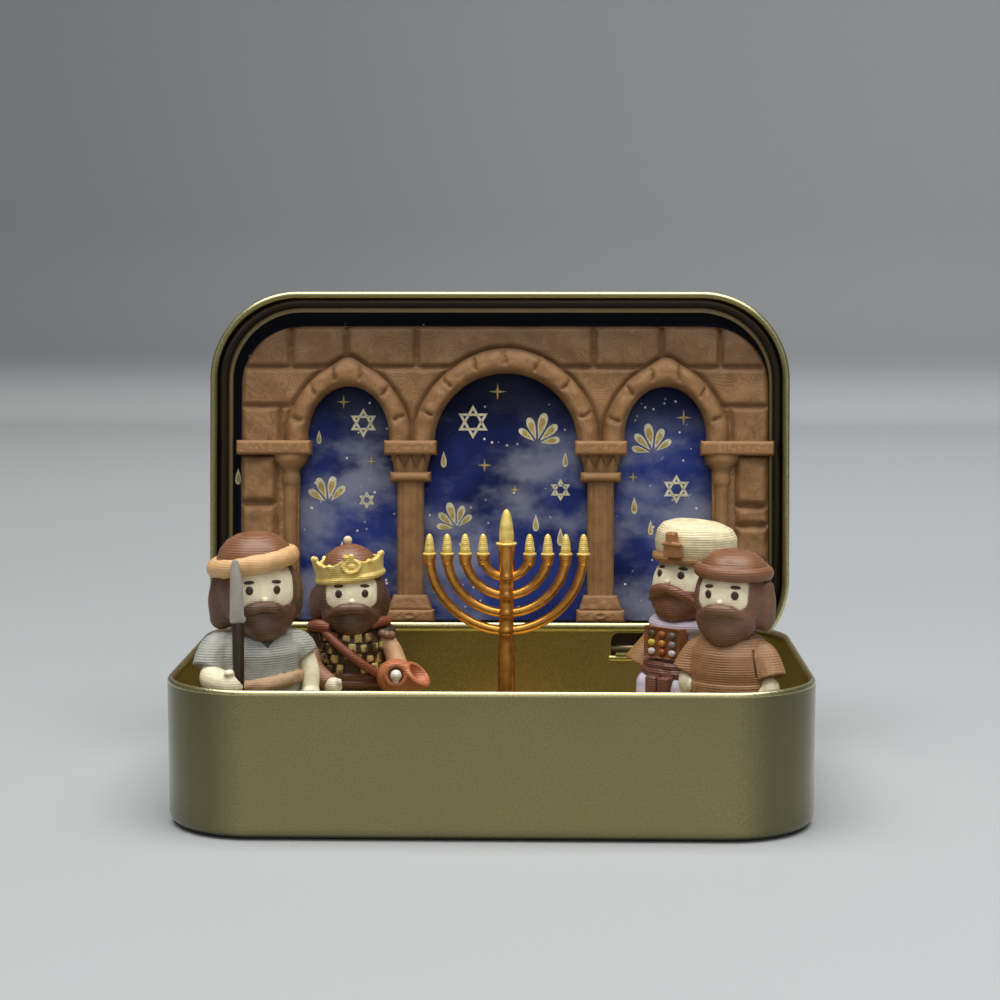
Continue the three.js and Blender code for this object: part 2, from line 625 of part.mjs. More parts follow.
const throughCut = 2 * IMPOST_DEPTH;
const openings = arches.map(({ x, radius, crown }) => relief(
  archOutline(x, radius, crown - radius, IMPOST_LOW - IMPOST_HEIGHT), throughCut,
).translate(0, 0, IMPOST_DEPTH));
const bayHigh = IMPOST_LOW + IMPOST_HEIGHT / 4;
const bays = bayEdges.map(([x0, x1]) => slab(x0, x1, PANEL_BOTTOM - 1, bayHigh, throughCut)
  .translate(0, 0, IMPOST_DEPTH));
const wall = cut(relief(wallOutline, WALL_DEPTH), ...openings, ...bays);

const rings = arches.map(({ x, radius, crown }) => cut(
  relief(archOutline(x, radius + RING_WIDTH, crown - radius, bayHigh), RING_DEPTH),
  relief(archOutline(x, radius, crown - radius, IMPOST_LOW), 2 * RING_DEPTH).translate(0, 0, RING_DEPTH / 2),
));
const collarHigh = IMPOST_LOW - CAPITAL_HEIGHT;
const collarLow = collarHigh - COLLAR_HEIGHT;
const plinthHigh = PANEL_BOTTOM + PLINTH_HEIGHT;
const footHigh = plinthHigh + FOOT_HEIGHT;
function centredSlab(x, width, h0, h1, depth) {
  return slab(x - width / 2, x + width / 2, h0, h1, depth);
}
const columns = columnSpots.flatMap((x) => [
  centredSlab(x, COLUMN_IMPOST, IMPOST_LOW, IMPOST_HIGH, IMPOST_DEPTH),
  taper(x, collarHigh, IMPOST_LOW, CAPITAL_LOW_WIDTH, CAPITAL_HIGH_WIDTH, RING_DEPTH),
  centredSlab(x, COLLAR_WIDTH, collarLow, collarHigh, RING_DEPTH + STEP_OUT),
  centredSlab(x, SHAFT_WIDTH, footHigh - TUCK, collarLow + TUCK, WALL_DEPTH + STEP_OUT),
  taper(x, plinthHigh, footHigh, FOOT_LOW_WIDTH, FOOT_HIGH_WIDTH, RING_DEPTH),
  centredSlab(x, PLINTH_WIDTH, PANEL_BOTTOM, plinthHigh, RING_DEPTH + STEP_OUT),
]);

// Jamb stones lie in four courses between the panel's foot and the impost
const jambHigh = IMPOST_LOW + TUCK;
const jambLow = PANEL_BOTTOM + PANEL_FOOT;
const stoneTops = [1, 0.733, 0.526, 0.276, 0].map((share) => jambLow + share * (jambHigh - jambLow));
const jambs = [-1, 1].flatMap((side) => {
  const across = (x0, x1, h0, h1, depth) => slab(
    Math.min(side * x0, side * x1), Math.max(side * x0, side * x1), h0, h1, depth,
  );
  const stones = stoneTops.slice(0, -1).map((top, i) => across(
    PANEL_HALF - JAMB_STONE, PANEL_HALF, stoneTops[i + 1] + JAMB_JOINT, top, STONE_DEPTH,
  ));
  const post = side * (PANEL_HALF - POST_INSET);
  return [
    ...stones,
    centredSlab(post, POST_WIDTH, PANEL_BOTTOM, IMPOST_LOW - IMPOST_HEIGHT, STONE_DEPTH),
    taper(post, IMPOST_LOW - CORBEL_DROP, jambHigh, CORBEL_LOW_WIDTH, CORBEL_HIGH_WIDTH, STONE_DEPTH),
    across(PANEL_HALF - IMPOST_REACH, PANEL_HALF + IMPOST_OVERHANG, IMPOST_LOW, IMPOST_HIGH, IMPOST_DEPTH),
  ];
});
piece(lid, 'arcade_panel', 'arcade', join(wall, ...rings, ...columns, ...jambs));

// Nine-branched lamp: four half-round branches through one stem, a cup and a flame on each end
const lamp = new THREE.Group();
lamp.position.set(LAMP_X, LAMP_FROM_FRONT - TIN_DEPTH / 2, STAND_Z);
tin.add(lamp);

function cup(x, top, radius, height) {
  return turned([
    [radius * 0.55, top - height], [radius * 0.8, top - height * 0.6],
    [radius, top - height * 0.15], [radius, top],
  ], { steps: 8 }).translate(x, 0, 0);
}

function flame(x, base, radius, height) {
  return turned([
    [radius * 0.8, base], [radius, base + height * 0.25], [radius * 0.75, base + height * 0.6],
    [radius * 0.15, base + height],
  ], { steps: 8 }).translate(x, 0, 0);
}

const cupZ = LAMP_CUP_Z - STAND_Z;
const midCupZ = MID_CUP_Z - STAND_Z;
const branches = LAMP_RADII.map((r) => rod(Array.from({ length: 13 }, (_, i) => {
  const a = Math.PI + (Math.PI * i) / 12;
  return [r * Math.cos(a), 0, cupZ - TUCK + r * Math.sin(a)];
}), BRANCH_RADIUS, 3, 14));
const midCupLow = midCupZ - MID_CUP_HEIGHT;
const stem = turned([
  [FOOT_RADIUS, 0], [FOOT_RADIUS, FOOT_RIM], ...FOOT_PROFILE, [STEM_RADIUS, (cupZ + midCupZ) / 3],
  [STEM_RADIUS * 0.9, midCupLow - CUP_HEIGHT], [STEM_RADIUS, midCupLow],
  [MID_CUP_RADIUS, midCupZ - MID_CUP_HEIGHT * 0.3], [MID_CUP_RADIUS, midCupZ],
], { steps: 14 });
const cups = LAMP_RADII.flatMap((r) => [-r, r]).map((x) => cup(x, cupZ, CUP_RADIUS, CUP_HEIGHT));
piece(lamp, 'lamp_frame', 'lampGold', join(stem, ...branches, ...cups));
const flameSpots = [...LAMP_RADII.map((r) => -r).reverse(), 0, ...LAMP_RADII];
flameSpots.forEach((x, i) => {
  const tall = x === 0;
  piece(lamp, `lamp_flame_${i + 1}`, 'flame', flame(
    x, (tall ? midCupZ : cupZ) + REST,
    tall ? MID_FLAME_RADIUS : FLAME_RADIUS, tall ? MID_FLAME_HEIGHT : FLAME_HEIGHT,
  ));
});

// Figures: each stands on the tray's floor and faces the front before it is turned
function stand(x, fromFront, turn) {
  const group = new THREE.Group();
  group.position.set(x, fromFront - TIN_DEPTH / 2, STAND_Z);
  group.rotation.z = THREE.MathUtils.degToRad(turn);
  tin.add(group);
  return group;
}

function halfSpace(z, tilt, low, high) {
  const reach = TIN_DEPTH;
  return box(-reach, reach, -reach, reach, low * reach, high * reach)
    .rotateY(THREE.MathUtils.degToRad(-tilt))
    .translate(0, 0, z);
}

function above(z, tilt = 0) {
  return halfSpace(z, tilt, 0, 1);
}

function below(z, tilt = 0) {
  return halfSpace(z, tilt, -1, 0);
}

// Head ball with its hair and beard, the face set into its front
function headParts({ radii, at, faceWidth, faceLow, faceHigh, extras, top, tilt = 0 }) {
  const headBall = ball(radii, at, 0, 14);
  const front = at[1] - radii[1];
  const window = (grow) => box(
    -faceWidth / 2 - grow, faceWidth / 2 + grow, front - FACE_REACH, front + FACE_DEPTH + grow,
    faceLow - grow, faceHigh + grow,
  );
  const crown = below(top - FIT / 2, tilt);
  return {
    face: common(common(headBall, window(0)), crown),
    hair: common(cut(join(headBall, ...extras), window(FIT)), crown),
    cutter: join(ball(radii, at, FIT, 14), ...extras),
  };
}

function topOf(profile) {
  return profile[profile.length - 1][1];
}

function coat(lowRadius, profile, skirt, { flat, grow = 0 }) {
  return turned([[lowRadius, topOf(skirt) + FIT], ...profile], { sy: flat, grow });
}

function belt(radius, height, skirt, flat) {
  const low = topOf(skirt) + FIT + BELT_RISE;
  return (grow) => ring([
    [radius - grow, low - grow], [radius + BELT_THICKNESS + grow, low - grow],
    [radius + BELT_THICKNESS + grow, low + height + grow], [radius - grow, low + height + grow],
  ], { sy: flat });
}

function mirrored(at) {
  return [-at[0], at[1], at[2]];
}

function tipped(geometry, z, tilt) {
  return geometry.translate(0, 0, -z).rotateY(THREE.MathUtils.degToRad(-tilt)).translate(0, 0, z);
}

// Spear bearer, at the front left
const guard = stand(GUARD_FROM_SIDE - TIN_WIDTH / 2, GUARD_FROM_FRONT, GUARD_TURN);
const guardBand = (grow) => ring(circleProfile(GUARD_BAND_RADIUS, 0, GUARD_BAND_ROLL + grow), { steps: 16 })
  .rotateY(THREE.MathUtils.degToRad(-GUARD_CAP_TILT)).translate(...GUARD_BAND_AT);
const guardHead = headParts({
  radii: GUARD_HEAD,
  at: GUARD_HEAD_AT,
  faceWidth: GUARD_FACE_WIDTH,
  faceLow: GUARD_FACE_LOW,
  faceHigh: GUARD_FACE_HIGH,
  top: GUARD_BROW_Z,
  tilt: GUARD_CAP_TILT,
  extras: [ball(GUARD_LOCK, GUARD_LOCK_AT), ball(GUARD_BEARD, GUARD_BEARD_AT)],
});
piece(guard, 'guard_face', 'skin', guardHead.face);
piece(guard, 'guard_hair', 'hair', guardHead.hair);
piece(guard, 'guard_headband', 'tan', guardBand(0));
piece(guard, 'guard_cap', 'capBrown', cut(join(
  common(ball(GUARD_CAP, GUARD_CAP_AT, 0, 14), above(GUARD_BAND_AT[2], GUARD_CAP_TILT)),
  common(turned(GUARD_PLUG), above(GUARD_BROW_Z + FIT / 2, GUARD_CAP_TILT)),
), guardBand(FIT)));
const guardArms = {
  left: (grow) => join(
    rod(GUARD_LEFT_ARM, GUARD_LEFT_ARM_RADIUS + grow), ball(GUARD_LEFT_HAND, GUARD_LEFT_HAND_AT, grow),
  ),
  right: (grow) => join(
    rod(GUARD_RIGHT_ARM, GUARD_RIGHT_ARM_RADIUS + grow), ball(GUARD_RIGHT_HAND, GUARD_RIGHT_HAND_AT, grow),
  ),
};
const spearLength = SPEAR_HIGH - SPEAR_LOW;
const guardShaft = (grow) => new THREE.CylinderGeometry(
  SPEAR_RADIUS + grow, SPEAR_RADIUS + grow, spearLength + 2 * grow, 10,
).rotateX(Math.PI / 2).translate(...SPEAR_AT, SPEAR_LOW + spearLength / 2);
const guardBelt = belt(GUARD_BELT_RADIUS, GUARD_BELT_HEIGHT, GUARD_SKIRT, GUARD_FLAT);
piece(guard, 'guard_tunic', 'grey', cut(
  join(
    coat(GUARD_COAT_LOW, GUARD_COAT, GUARD_SKIRT, { flat: GUARD_FLAT }),
    ball(GUARD_SHOULDER, mirrored(GUARD_SHOULDER_AT)),
    ball(GUARD_SHOULDER, GUARD_SHOULDER_AT),
  ),
  guardHead.cutter, guardArms.left(FIT), guardArms.right(FIT), guardBelt(FIT),
));
piece(guard, 'guard_belt', 'tan', cut(guardBelt(0), guardArms.left(FIT), guardArms.right(FIT)));
piece(guard, 'guard_skirt', 'grey', cut(
  turned(GUARD_SKIRT, { sy: GUARD_FLAT }), guardArms.left(FIT), guardArms.right(FIT), guardShaft(FIT),
));
piece(guard, 'guard_arm_left', 'skin', cut(guardArms.left(0), guardShaft(FIT)));
piece(guard, 'guard_arm_right', 'skin', guardArms.right(0));
piece(guard, 'spear_shaft', 'darkWood', guardShaft(0));
const bladeOutline = new THREE.Shape(BLADE.map(([x, z]) => new THREE.Vector2(x, z)));
const blade = new THREE.ExtrudeGeometry(bladeOutline, { depth: BLADE_DEPTH, bevelEnabled: false })
  .rotateX(Math.PI / 2)
  .translate(SPEAR_AT[0], SPEAR_AT[1] + BLADE_DEPTH / 2, SPEAR_HIGH + FIT);
piece(guard, 'spear_blade', 'steel', blade);

// Crowned figure, behind it
const king = stand(KING_FROM_SIDE - TIN_WIDTH / 2, KING_FROM_FRONT, KING_TURN);
const kingHead = headParts({
  radii: KING_HEAD,
  at: KING_HEAD_AT,
  faceWidth: KING_FACE_WIDTH,
  faceLow: KING_FACE_LOW,
  faceHigh: KING_FACE_HIGH,
  top: KING_BROW_Z,
  tilt: KING_CROWN_TILT,
  extras: [ball(KING_LOCK, KING_LOCK_AT), ball(KING_BEARD, KING_BEARD_AT)],
});
const crownLow = KING_BROW_Z + FIT;
const crownHigh = crownLow + CROWN_HEIGHT;
const crownBand = turned([[CROWN_LOW_RADIUS, crownLow], [CROWN_HIGH_RADIUS, crownHigh]], { steps: 16 });
const crownHollow = turned([
  [CROWN_LOW_RADIUS - CROWN_THICKNESS, crownLow - 1], [CROWN_HIGH_RADIUS - CROWN_THICKNESS, crownHigh + 1],
], { steps: 16 });
const crownNotches = [0, 1, 2, 3, 4].map((i) => box(
  -2 * CROWN_HIGH_RADIUS, 2 * CROWN_HIGH_RADIUS, -CROWN_NOTCH / 2, CROWN_NOTCH / 2,
  crownHigh - CROWN_NOTCH_DEPTH, crownHigh + CROWN_NOTCH_DEPTH,
).rotateZ((Math.PI * (i + 0.5)) / 5));
piece(king, 'king_face', 'skin', kingHead.face);
piece(king, 'king_hair', 'hair', kingHead.hair);
const kingCrown = cut(crownBand, crownHollow, ...crownNotches);
piece(king, 'king_crown', 'crown', tipped(kingCrown, KING_BROW_Z, KING_CROWN_TILT));
piece(king, 'king_cap', 'capBrown', tipped(join(
  turned([[KING_CAP_LOW, crownLow], ...KING_CAP]), ball(KING_BALL, KING_BALL_AT),
), KING_BROW_Z, KING_CROWN_TILT));
const kingArms = {
  left: (grow) => join(
    rod(KING_LEFT_ARM, KING_ARM_RADIUS + grow), ball(KING_LEFT_HAND, KING_LEFT_HAND_AT, grow),
  ),
  right: (grow) => rod(KING_RIGHT_ARM, KING_ARM_RADIUS + grow),
};
const kingJug = (grow) => join(ball(JUG, JUG_AT, grow), rod(JUG_NECK, JUG_NECK_RADIUS + grow, 5, 3));
const kingBelt = belt(KING_BELT_RADIUS, KING_BELT_HEIGHT, KING_SKIRT, KING_FLAT);
const kingCoat = (grow) => coat(KING_COAT_LOW, KING_COAT, KING_SKIRT, { flat: KING_FLAT, grow });
const kingShoulders = (grow) => join(
  ball(KING_SHOULDER, mirrored(KING_SHOULDER_AT), grow), ball(KING_SHOULDER, KING_SHOULDER_AT, grow),
);
const kingSash = box(
  2 * SASH_LEFT, 2 * SASH_RIGHT, 2 * SASH_LEFT, 2 * SASH_RIGHT, -SASH_WIDTH / 2, SASH_WIDTH / 2,
).rotateY(THREE.MathUtils.degToRad(SASH_LEAN)).translate(0, 0, SASH_Z);
const sashFront = box(SASH_LEFT, SASH_RIGHT, SASH_BACK - TIN_DEPTH, SASH_BACK, SASH_LOW, SASH_HIGH);
piece(king, 'king_armour', 'armour', cut(
  join(kingCoat(0), kingShoulders(0)),
  kingHead.cutter, kingArms.left(FIT), kingArms.right(FIT), kingJug(FIT), kingBelt(FIT),
));
piece(king, 'king_sash', 'rust', cut(
  common(common(kingCoat(SASH_THICKNESS), kingSash), sashFront),
  kingCoat(FIT * 0.8), kingShoulders(FIT), kingHead.cutter,
  kingJug(FIT), kingArms.left(FIT), kingArms.right(FIT),
));
piece(king, 'king_belt', 'rust', cut(kingBelt(0), kingArms.left(FIT), kingArms.right(FIT), kingJug(FIT)));
piece(king, 'king_skirt', 'armour', cut(
  turned(KING_SKIRT, { sy: KING_FLAT }), kingArms.left(FIT), kingArms.right(FIT), kingJug(FIT),
));
piece(king, 'king_arm_left', 'skin', kingArms.left(0));
piece(king, 'king_arm_right', 'skin', cut(kingArms.right(0), kingJug(FIT)));
piece(king, 'king_jug', 'terracotta', cut(kingJug(0), rod(JUG_MOUTH, JUG_NECK_RADIUS - JUG_WALL, 5, 2)));

// Priest in a tall turban, at the back right
const priest = stand(TIN_WIDTH / 2 - PRIEST_FROM_SIDE, PRIEST_FROM_FRONT, PRIEST_TURN);
const priestHead = headParts({
  radii: PRIEST_HEAD,
  at: PRIEST_HEAD_AT,
  faceWidth: PRIEST_FACE_WIDTH,
  faceLow: PRIEST_FACE_LOW,
  faceHigh: PRIEST_FACE_HIGH,
  top: PRIEST_BROW_Z,
  extras: [ball(PRIEST_BEARD, PRIEST_BEARD_AT)],
});
const bandLow = PRIEST_BROW_Z + FIT;
const bandHigh = PRIEST_BROW_Z + BAND_HEIGHT;
piece(priest, 'priest_face', 'skin', priestHead.face);
piece(priest, 'priest_beard', 'redBrown', priestHead.hair);
piece(priest, 'priest_band', 'cloak', turned([
  [BAND_LOW_RADIUS, bandLow], ...BAND, [BAND_LOW_RADIUS, bandHigh],
], { steps: 16 }));
piece(priest, 'priest_turban', 'cream', turned([
  [TURBAN_LOW_RADIUS, bandHigh + FIT], ...TURBAN,
], { steps: 16 }));
const crestBack = -TURBAN[0][0] - FIT;
piece(priest, 'priest_crest', 'plate', box(
  CREST_LEFT, CREST_LEFT + CREST_WIDTH, crestBack - CREST_DEPTH, crestBack, CREST_LOW, CREST_HIGH,
));
const priestSleeve = (side, grow) => [[SLEEVE_UPPER, SLEEVE_UPPER_AT], [SLEEVE_LOWER, SLEEVE_LOWER_AT]]
  .map(([radii, at]) => ball(radii, side < 0 ? mirrored(at) : at, grow))
  .reduce((first, second) => join(first, second));
const priestPlate = (grow) => box(
  PLATE_LEFT - grow, PLATE_RIGHT + grow, PLATE_FRONT - grow, PLATE_BACK + grow,
  PLATE_LOW - grow, PLATE_HIGH + grow,
);
const priestBelt = belt(PRIEST_BELT_RADIUS, PRIEST_BELT_HEIGHT, PRIEST_SKIRT, PRIEST_FLAT);
piece(priest, 'priest_robe_top', 'lilac', cut(
  coat(PRIEST_COAT_LOW, PRIEST_COAT, PRIEST_SKIRT, { flat: PRIEST_FLAT }),
  priestHead.cutter, priestPlate(FIT), priestBelt(FIT), priestSleeve(-1, FIT), priestSleeve(1, FIT),
));
[['right', -1], ['left', 1]].forEach(([name, side]) => {
  piece(priest, `priest_sleeve_${name}`, 'cloak', cut(
    priestSleeve(side, 0), priestHead.cutter, priestBelt(FIT), priestPlate(FIT),
  ));
});
piece(priest, 'priest_breastplate', 'plate', cut(priestPlate(0), priestHead.cutter));
const priestEnds = (grow) => join(...[
  [-ENDS_OUTER, -ENDS_INNER, ENDS_LOW],
  [ENDS_INNER, ENDS_OUTER, ENDS_LOW],
  [-ENDS_OUTER, ENDS_OUTER, ENDS_HIGH - ENDS_KNOT],
].map(([x0, x1, low]) => box(
  x0 - grow, x1 + grow, ENDS_FRONT - grow, ENDS_BACK + grow, low - grow, ENDS_HIGH + grow,
)));
piece(priest, 'priest_belt', 'redBrown', cut(priestBelt(0), priestSleeve(-1, FIT), priestSleeve(1, FIT)));
piece(priest, 'priest_belt_ends', 'redBrown', priestEnds(0));
piece(priest, 'priest_skirt', 'lilac', cut(
  turned(PRIEST_SKIRT, { sy: PRIEST_FLAT }), priestEnds(FIT), priestSleeve(-1, FIT), priestSleeve(1, FIT),
));

// Elder in a brown headwrap, at the front right
const elder = stand(TIN_WIDTH / 2 - ELDER_FROM_SIDE, ELDER_FROM_FRONT, ELDER_TURN);
const elderBrim = (grow) => ring(circleProfile(BRIM_RADIUS, BRIM_Z, BRIM_ROLL + grow), { steps: 16 });
const elderHead = headParts({
  radii: ELDER_HEAD,
  at: ELDER_HEAD_AT,
  faceWidth: ELDER_FACE_WIDTH,
  faceLow: ELDER_FACE_LOW,
  faceHigh: ELDER_FACE_HIGH,
  top: ELDER_BROW_Z,
  extras: [ball(ELDER_LOCK, ELDER_LOCK_AT), ball(ELDER_BEARD, ELDER_BEARD_AT)],
});
piece(elder, 'elder_face', 'skin', elderHead.face);
piece(elder, 'elder_hair', 'hair', elderHead.hair);
piece(elder, 'elder_brim', 'capBrown', elderBrim(0));
piece(elder, 'elder_cap', 'capBrown', cut(join(
  common(ball(ELDER_CAP, [0, 0, BRIM_Z], 0, 14), above(BRIM_Z)),
  turned([[ELDER_PLUG_RADIUS, ELDER_BROW_Z + FIT / 2], [ELDER_PLUG_RADIUS, ELDER_PLUG_HIGH]]),
), elderBrim(FIT)));
const elderHands = {
  left: (grow) => ball(ELDER_LEFT_HAND, ELDER_LEFT_HAND_AT, grow),
  right: (grow) => ball(ELDER_RIGHT_HAND, ELDER_RIGHT_HAND_AT, grow),
};
piece(elder, 'elder_tunic', 'robe', cut(
  join(
    coat(ELDER_COAT_LOW, ELDER_COAT, ELDER_SKIRT, { flat: ELDER_FLAT }),
    ball(ELDER_SLEEVE, mirrored(ELDER_SLEEVE_AT), 0, 14),
    ball(ELDER_SLEEVE, ELDER_SLEEVE_AT, 0, 14),
  ),
  elderHead.cutter, elderHands.left(FIT), elderHands.right(FIT),
));
piece(elder, 'elder_skirt', 'robe', cut(
  turned(ELDER_SKIRT, { sy: ELDER_FLAT }), elderHands.left(FIT), elderHands.right(FIT),
));
piece(elder, 'elder_hand_left', 'skin', elderHands.left(0));
piece(elder, 'elder_hand_right', 'skin', elderHands.right(0));

export default tin;
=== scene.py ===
# %% [markdown]
# # A pocket tin that opens into a festival scene
# A pressed tin stands open. Its lid holds a printed night sky behind a small three-arch arcade, and its tray
# holds a nine-branched lamp with two little printed figures on each side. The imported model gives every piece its
# place, size and joint. This script dresses it: smooth sheet metal, carved stonework, layer lines and gold.

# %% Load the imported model
import math
import bpy
from mathutils import Matrix, Vector, noise


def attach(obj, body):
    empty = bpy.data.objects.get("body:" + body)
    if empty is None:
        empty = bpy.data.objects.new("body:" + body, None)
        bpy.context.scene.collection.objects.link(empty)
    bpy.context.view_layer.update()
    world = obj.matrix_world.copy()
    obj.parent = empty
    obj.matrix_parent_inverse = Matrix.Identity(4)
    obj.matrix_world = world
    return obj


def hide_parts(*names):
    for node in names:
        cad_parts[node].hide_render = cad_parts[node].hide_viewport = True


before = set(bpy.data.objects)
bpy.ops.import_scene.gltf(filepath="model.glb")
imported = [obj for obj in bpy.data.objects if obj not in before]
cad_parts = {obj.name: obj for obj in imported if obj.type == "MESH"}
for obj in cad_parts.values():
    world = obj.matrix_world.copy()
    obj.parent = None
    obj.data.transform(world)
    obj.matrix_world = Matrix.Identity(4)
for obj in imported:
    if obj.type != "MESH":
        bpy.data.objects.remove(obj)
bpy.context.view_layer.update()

# %% [markdown]
# ## The bench
# Everything is modelled in millimetres and set down in metres at the end, because a tin this small would
# otherwise mean counting zeros. `hold` selects what the next operator acts on, `drawn` puts down a chain of points,
# and `settle` shrinks a finished piece, places it, smooths it, and says which body carries it.

# %% Bench helpers
TO_METRES = Matrix.Scale(0.001, 4)
HERE = Matrix.Identity(4)
FULL_TURN = 2 * math.pi


def moved(x, y, z):
    return Matrix.Translation((x, y, z))


def turned(degrees, axis):
    return Matrix.Rotation(math.radians(degrees), 4, axis)


def let_go():
    bpy.ops.object.select_all(action="DESELECT")


def hold(*objects):
    let_go()
    for obj in objects:
        obj.select_set(True)
    bpy.context.view_layer.objects.active = objects[0]
    return objects[0]


def edit(obj):
    hold(obj)
    bpy.ops.object.mode_set(mode="EDIT")
    bpy.ops.mesh.select_mode(type="VERT")
    bpy.ops.mesh.select_all(action="SELECT")


def done():
    bpy.ops.object.mode_set(mode="OBJECT")


def pull(move):
    bpy.ops.mesh.extrude_region_move(TRANSFORM_OT_translate={"value": move})


def whirl(steps):
    bpy.ops.mesh.spin(steps=steps, angle=FULL_TURN, center=(0, 0, 0), axis=(0, 0, 1))


def close_up():
    bpy.ops.mesh.select_all(action="SELECT")
    bpy.ops.mesh.fill_holes(sides=0)
    bpy.ops.mesh.select_all(action="SELECT")
    bpy.ops.mesh.normals_make_consistent(inside=False)
    done()


def pick(obj, points=None, edges=None, faces=None):
    done()
    mesh = obj.data
    for item in (*mesh.vertices, *mesh.edges, *mesh.polygons):
        item.select = False
    mode = "VERT" if points else "EDGE" if edges else "FACE"
    if points:
        for vertex in mesh.vertices:
            vertex.select = points(vertex.co)
    if edges:
        for edge in mesh.edges:
            edge.select = edges(*(mesh.vertices[i].co for i in edge.vertices))
    if faces:
        for face in mesh.polygons:
            face.select = faces(face.center, face.normal)
    bpy.ops.object.mode_set(mode="EDIT")
    bpy.ops.mesh.select_mode(type=mode)


def drawn(name, points, closed=False):
    mesh = bpy.data.meshes.new(name)
    chain = [(i, i + 1) for i in range(len(points) - 1)]
    if closed:
        chain.append((len(points) - 1, 0))
    mesh.from_pydata(points, chain, [])
    obj = bpy.data.objects.new(name, mesh)
    bpy.context.collection.objects.link(obj)
    return hold(obj)


def apply_place(obj):
    hold(obj)
    bpy.ops.object.transform_apply(location=True, rotation=True, scale=True)
    return obj


def added(name):
    obj = bpy.context.object
    obj.name = obj.data.name = name
    return apply_place(obj)


def put(obj, matrix):
    obj.matrix_world = matrix @ obj.matrix_world
    return apply_place(obj)


def add_modifier(obj, kind, **settings):
    hold(obj)
    modifier = obj.modifiers.new(kind, kind)
    for key, value in settings.items():
        setattr(modifier, key, value)
    bpy.ops.object.modifier_apply(modifier=modifier.name)
    return obj


def joined(name, parts):
    for part in parts:
        apply_place(part)
    hold(*parts)
    if len(parts) > 1:
        bpy.ops.object.join()
    obj = bpy.context.view_layer.objects.active
    obj.name = obj.data.name = name
    return obj


def carve(obj, cutter, operation="DIFFERENCE"):
    add_modifier(obj, "BOOLEAN", object=cutter, operation=operation, solver="EXACT")
    bpy.data.objects.remove(cutter)
    return obj


def outward(obj, merge=0.002):
    edit(obj)
    bpy.ops.mesh.remove_doubles(threshold=merge)
    bpy.ops.mesh.normals_make_consistent(inside=False)
    done()
    return obj


def slab(name, outline, move):
    obj = drawn(name, outline, closed=True)
    edit(obj)
    bpy.ops.mesh.edge_face_add()
    pull(move)
    done()
    return outward(obj)


def settle(obj, body, finish, slot, nodes, place=HERE, smooth=40, coats=()):
    layers = [next((i for i, (_, test) in enumerate(coats, 1) if test(face.center, face.normal)), 0)
              for face in obj.data.polygons]
    put(obj, TO_METRES @ place)
    bpy.ops.object.shade_smooth_by_angle(angle=math.radians(smooth))
    obj.data.materials.clear()
    obj.data.materials.append(finish)
    for coat, _ in coats:
        obj.data.materials.append(coat)
    for face, layer in zip(obj.data.polygons, layers):
        face.material_index = layer
    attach(obj, body)
    if nodes:
        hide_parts(*nodes)
    print(f"{obj.name}: {len(obj.data.polygons)} faces on {body}")
    return obj


# %% [markdown]
# ## The camera
# The photograph looks straight at the tin from a little above, with a long lens. The camera repeats that, found
# by matching the tin's own edges.

# %% Camera
LENS, SENSOR = 79.5, 36
CAMERA_AT = (0.00871, -0.33627, 0.08229)
CAMERA_TILT, CAMERA_TURN = math.radians(83.75), math.radians(1.32)
camera_data = bpy.data.cameras.new("camera")
camera_data.sensor_width = SENSOR
camera_data.lens = LENS
camera_data.clip_start = 0.01
camera = bpy.data.objects.new("camera", camera_data)
bpy.context.collection.objects.link(camera)
camera.location = CAMERA_AT
camera.rotation_euler = (CAMERA_TILT, 0, CAMERA_TURN)
bpy.context.scene.camera = camera
bpy.context.scene.view_settings.view_transform = "Standard"


# %% [markdown]
# ## Finishes
# Shader maths is written as ordinary sums: `Wire` stands for one socket, and adding or multiplying two wires adds
# the node that does it. Every finish starts from the piece's own coordinates in metres, so nothing slides when a
# body moves. Printed pieces share one recipe: a colour, a little mottling, and fine lines at each printed layer.

# %% Shader sums
class Wire:
    def __init__(self, tree, socket):
        self.tree = tree
        self.socket = socket

    def node(self, kind, inputs, output=0, **settings):
        made = self.tree.nodes.new(kind)
        for key, value in settings.items():
            setattr(made, key, value)
        for key, value in inputs.items():
            if isinstance(value, Wire):
                self.tree.links.new(value.socket, made.inputs[key])
            else:
                made.inputs[key].default_value = colour(value) if isinstance(value, str) else value
        return Wire(self.tree, made.outputs[output])

    def sum(self, operation, left, right=0.0):
        return self.node("ShaderNodeMath", {0: left, 1: right}, operation=operation)

    def __add__(self, other):
        return self.sum("ADD", self, other)

    def __sub__(self, other):
        return self.sum("SUBTRACT", self, other)

    def __rsub__(self, other):
        return self.sum("SUBTRACT", other, self)

    def __mul__(self, other):
        return self.sum("MULTIPLY", self, other)

    def sine(self):
        return self.sum("SINE", self)

    def band(self, low, high):
        return self.node("ShaderNodeMapRange", {0: self, 1: low, 2: high, 3: 0.0, 4: 1.0},
                         interpolation_type="SMOOTHSTEP")

    def blend(self, first, second):
        return self.node("ShaderNodeMix", {0: self, 6: first, 7: second}, output=2, data_type="RGBA")

    def grain(self, size, detail=2.0, rough=0.5):
        return self.node("ShaderNodeTexNoise", {"Vector": self, "Scale": 1000 / size, "Detail": detail,
                                                "Roughness": rough})

    def axis(self, letter):
        return self.node("ShaderNodeSeparateXYZ", {0: self}, output="XYZ".index(letter))


def colour(code, lift=1.0):
    parts = [int(code[i:i + 2], 16) / 255 for i in (1, 3, 5)]
    linear = [p / 12.92 if p <= 0.04045 else ((p + 0.055) / 1.055) ** 2.4 for p in parts]
    return (*[min(1.0, p * lift) for p in linear], 1.0)


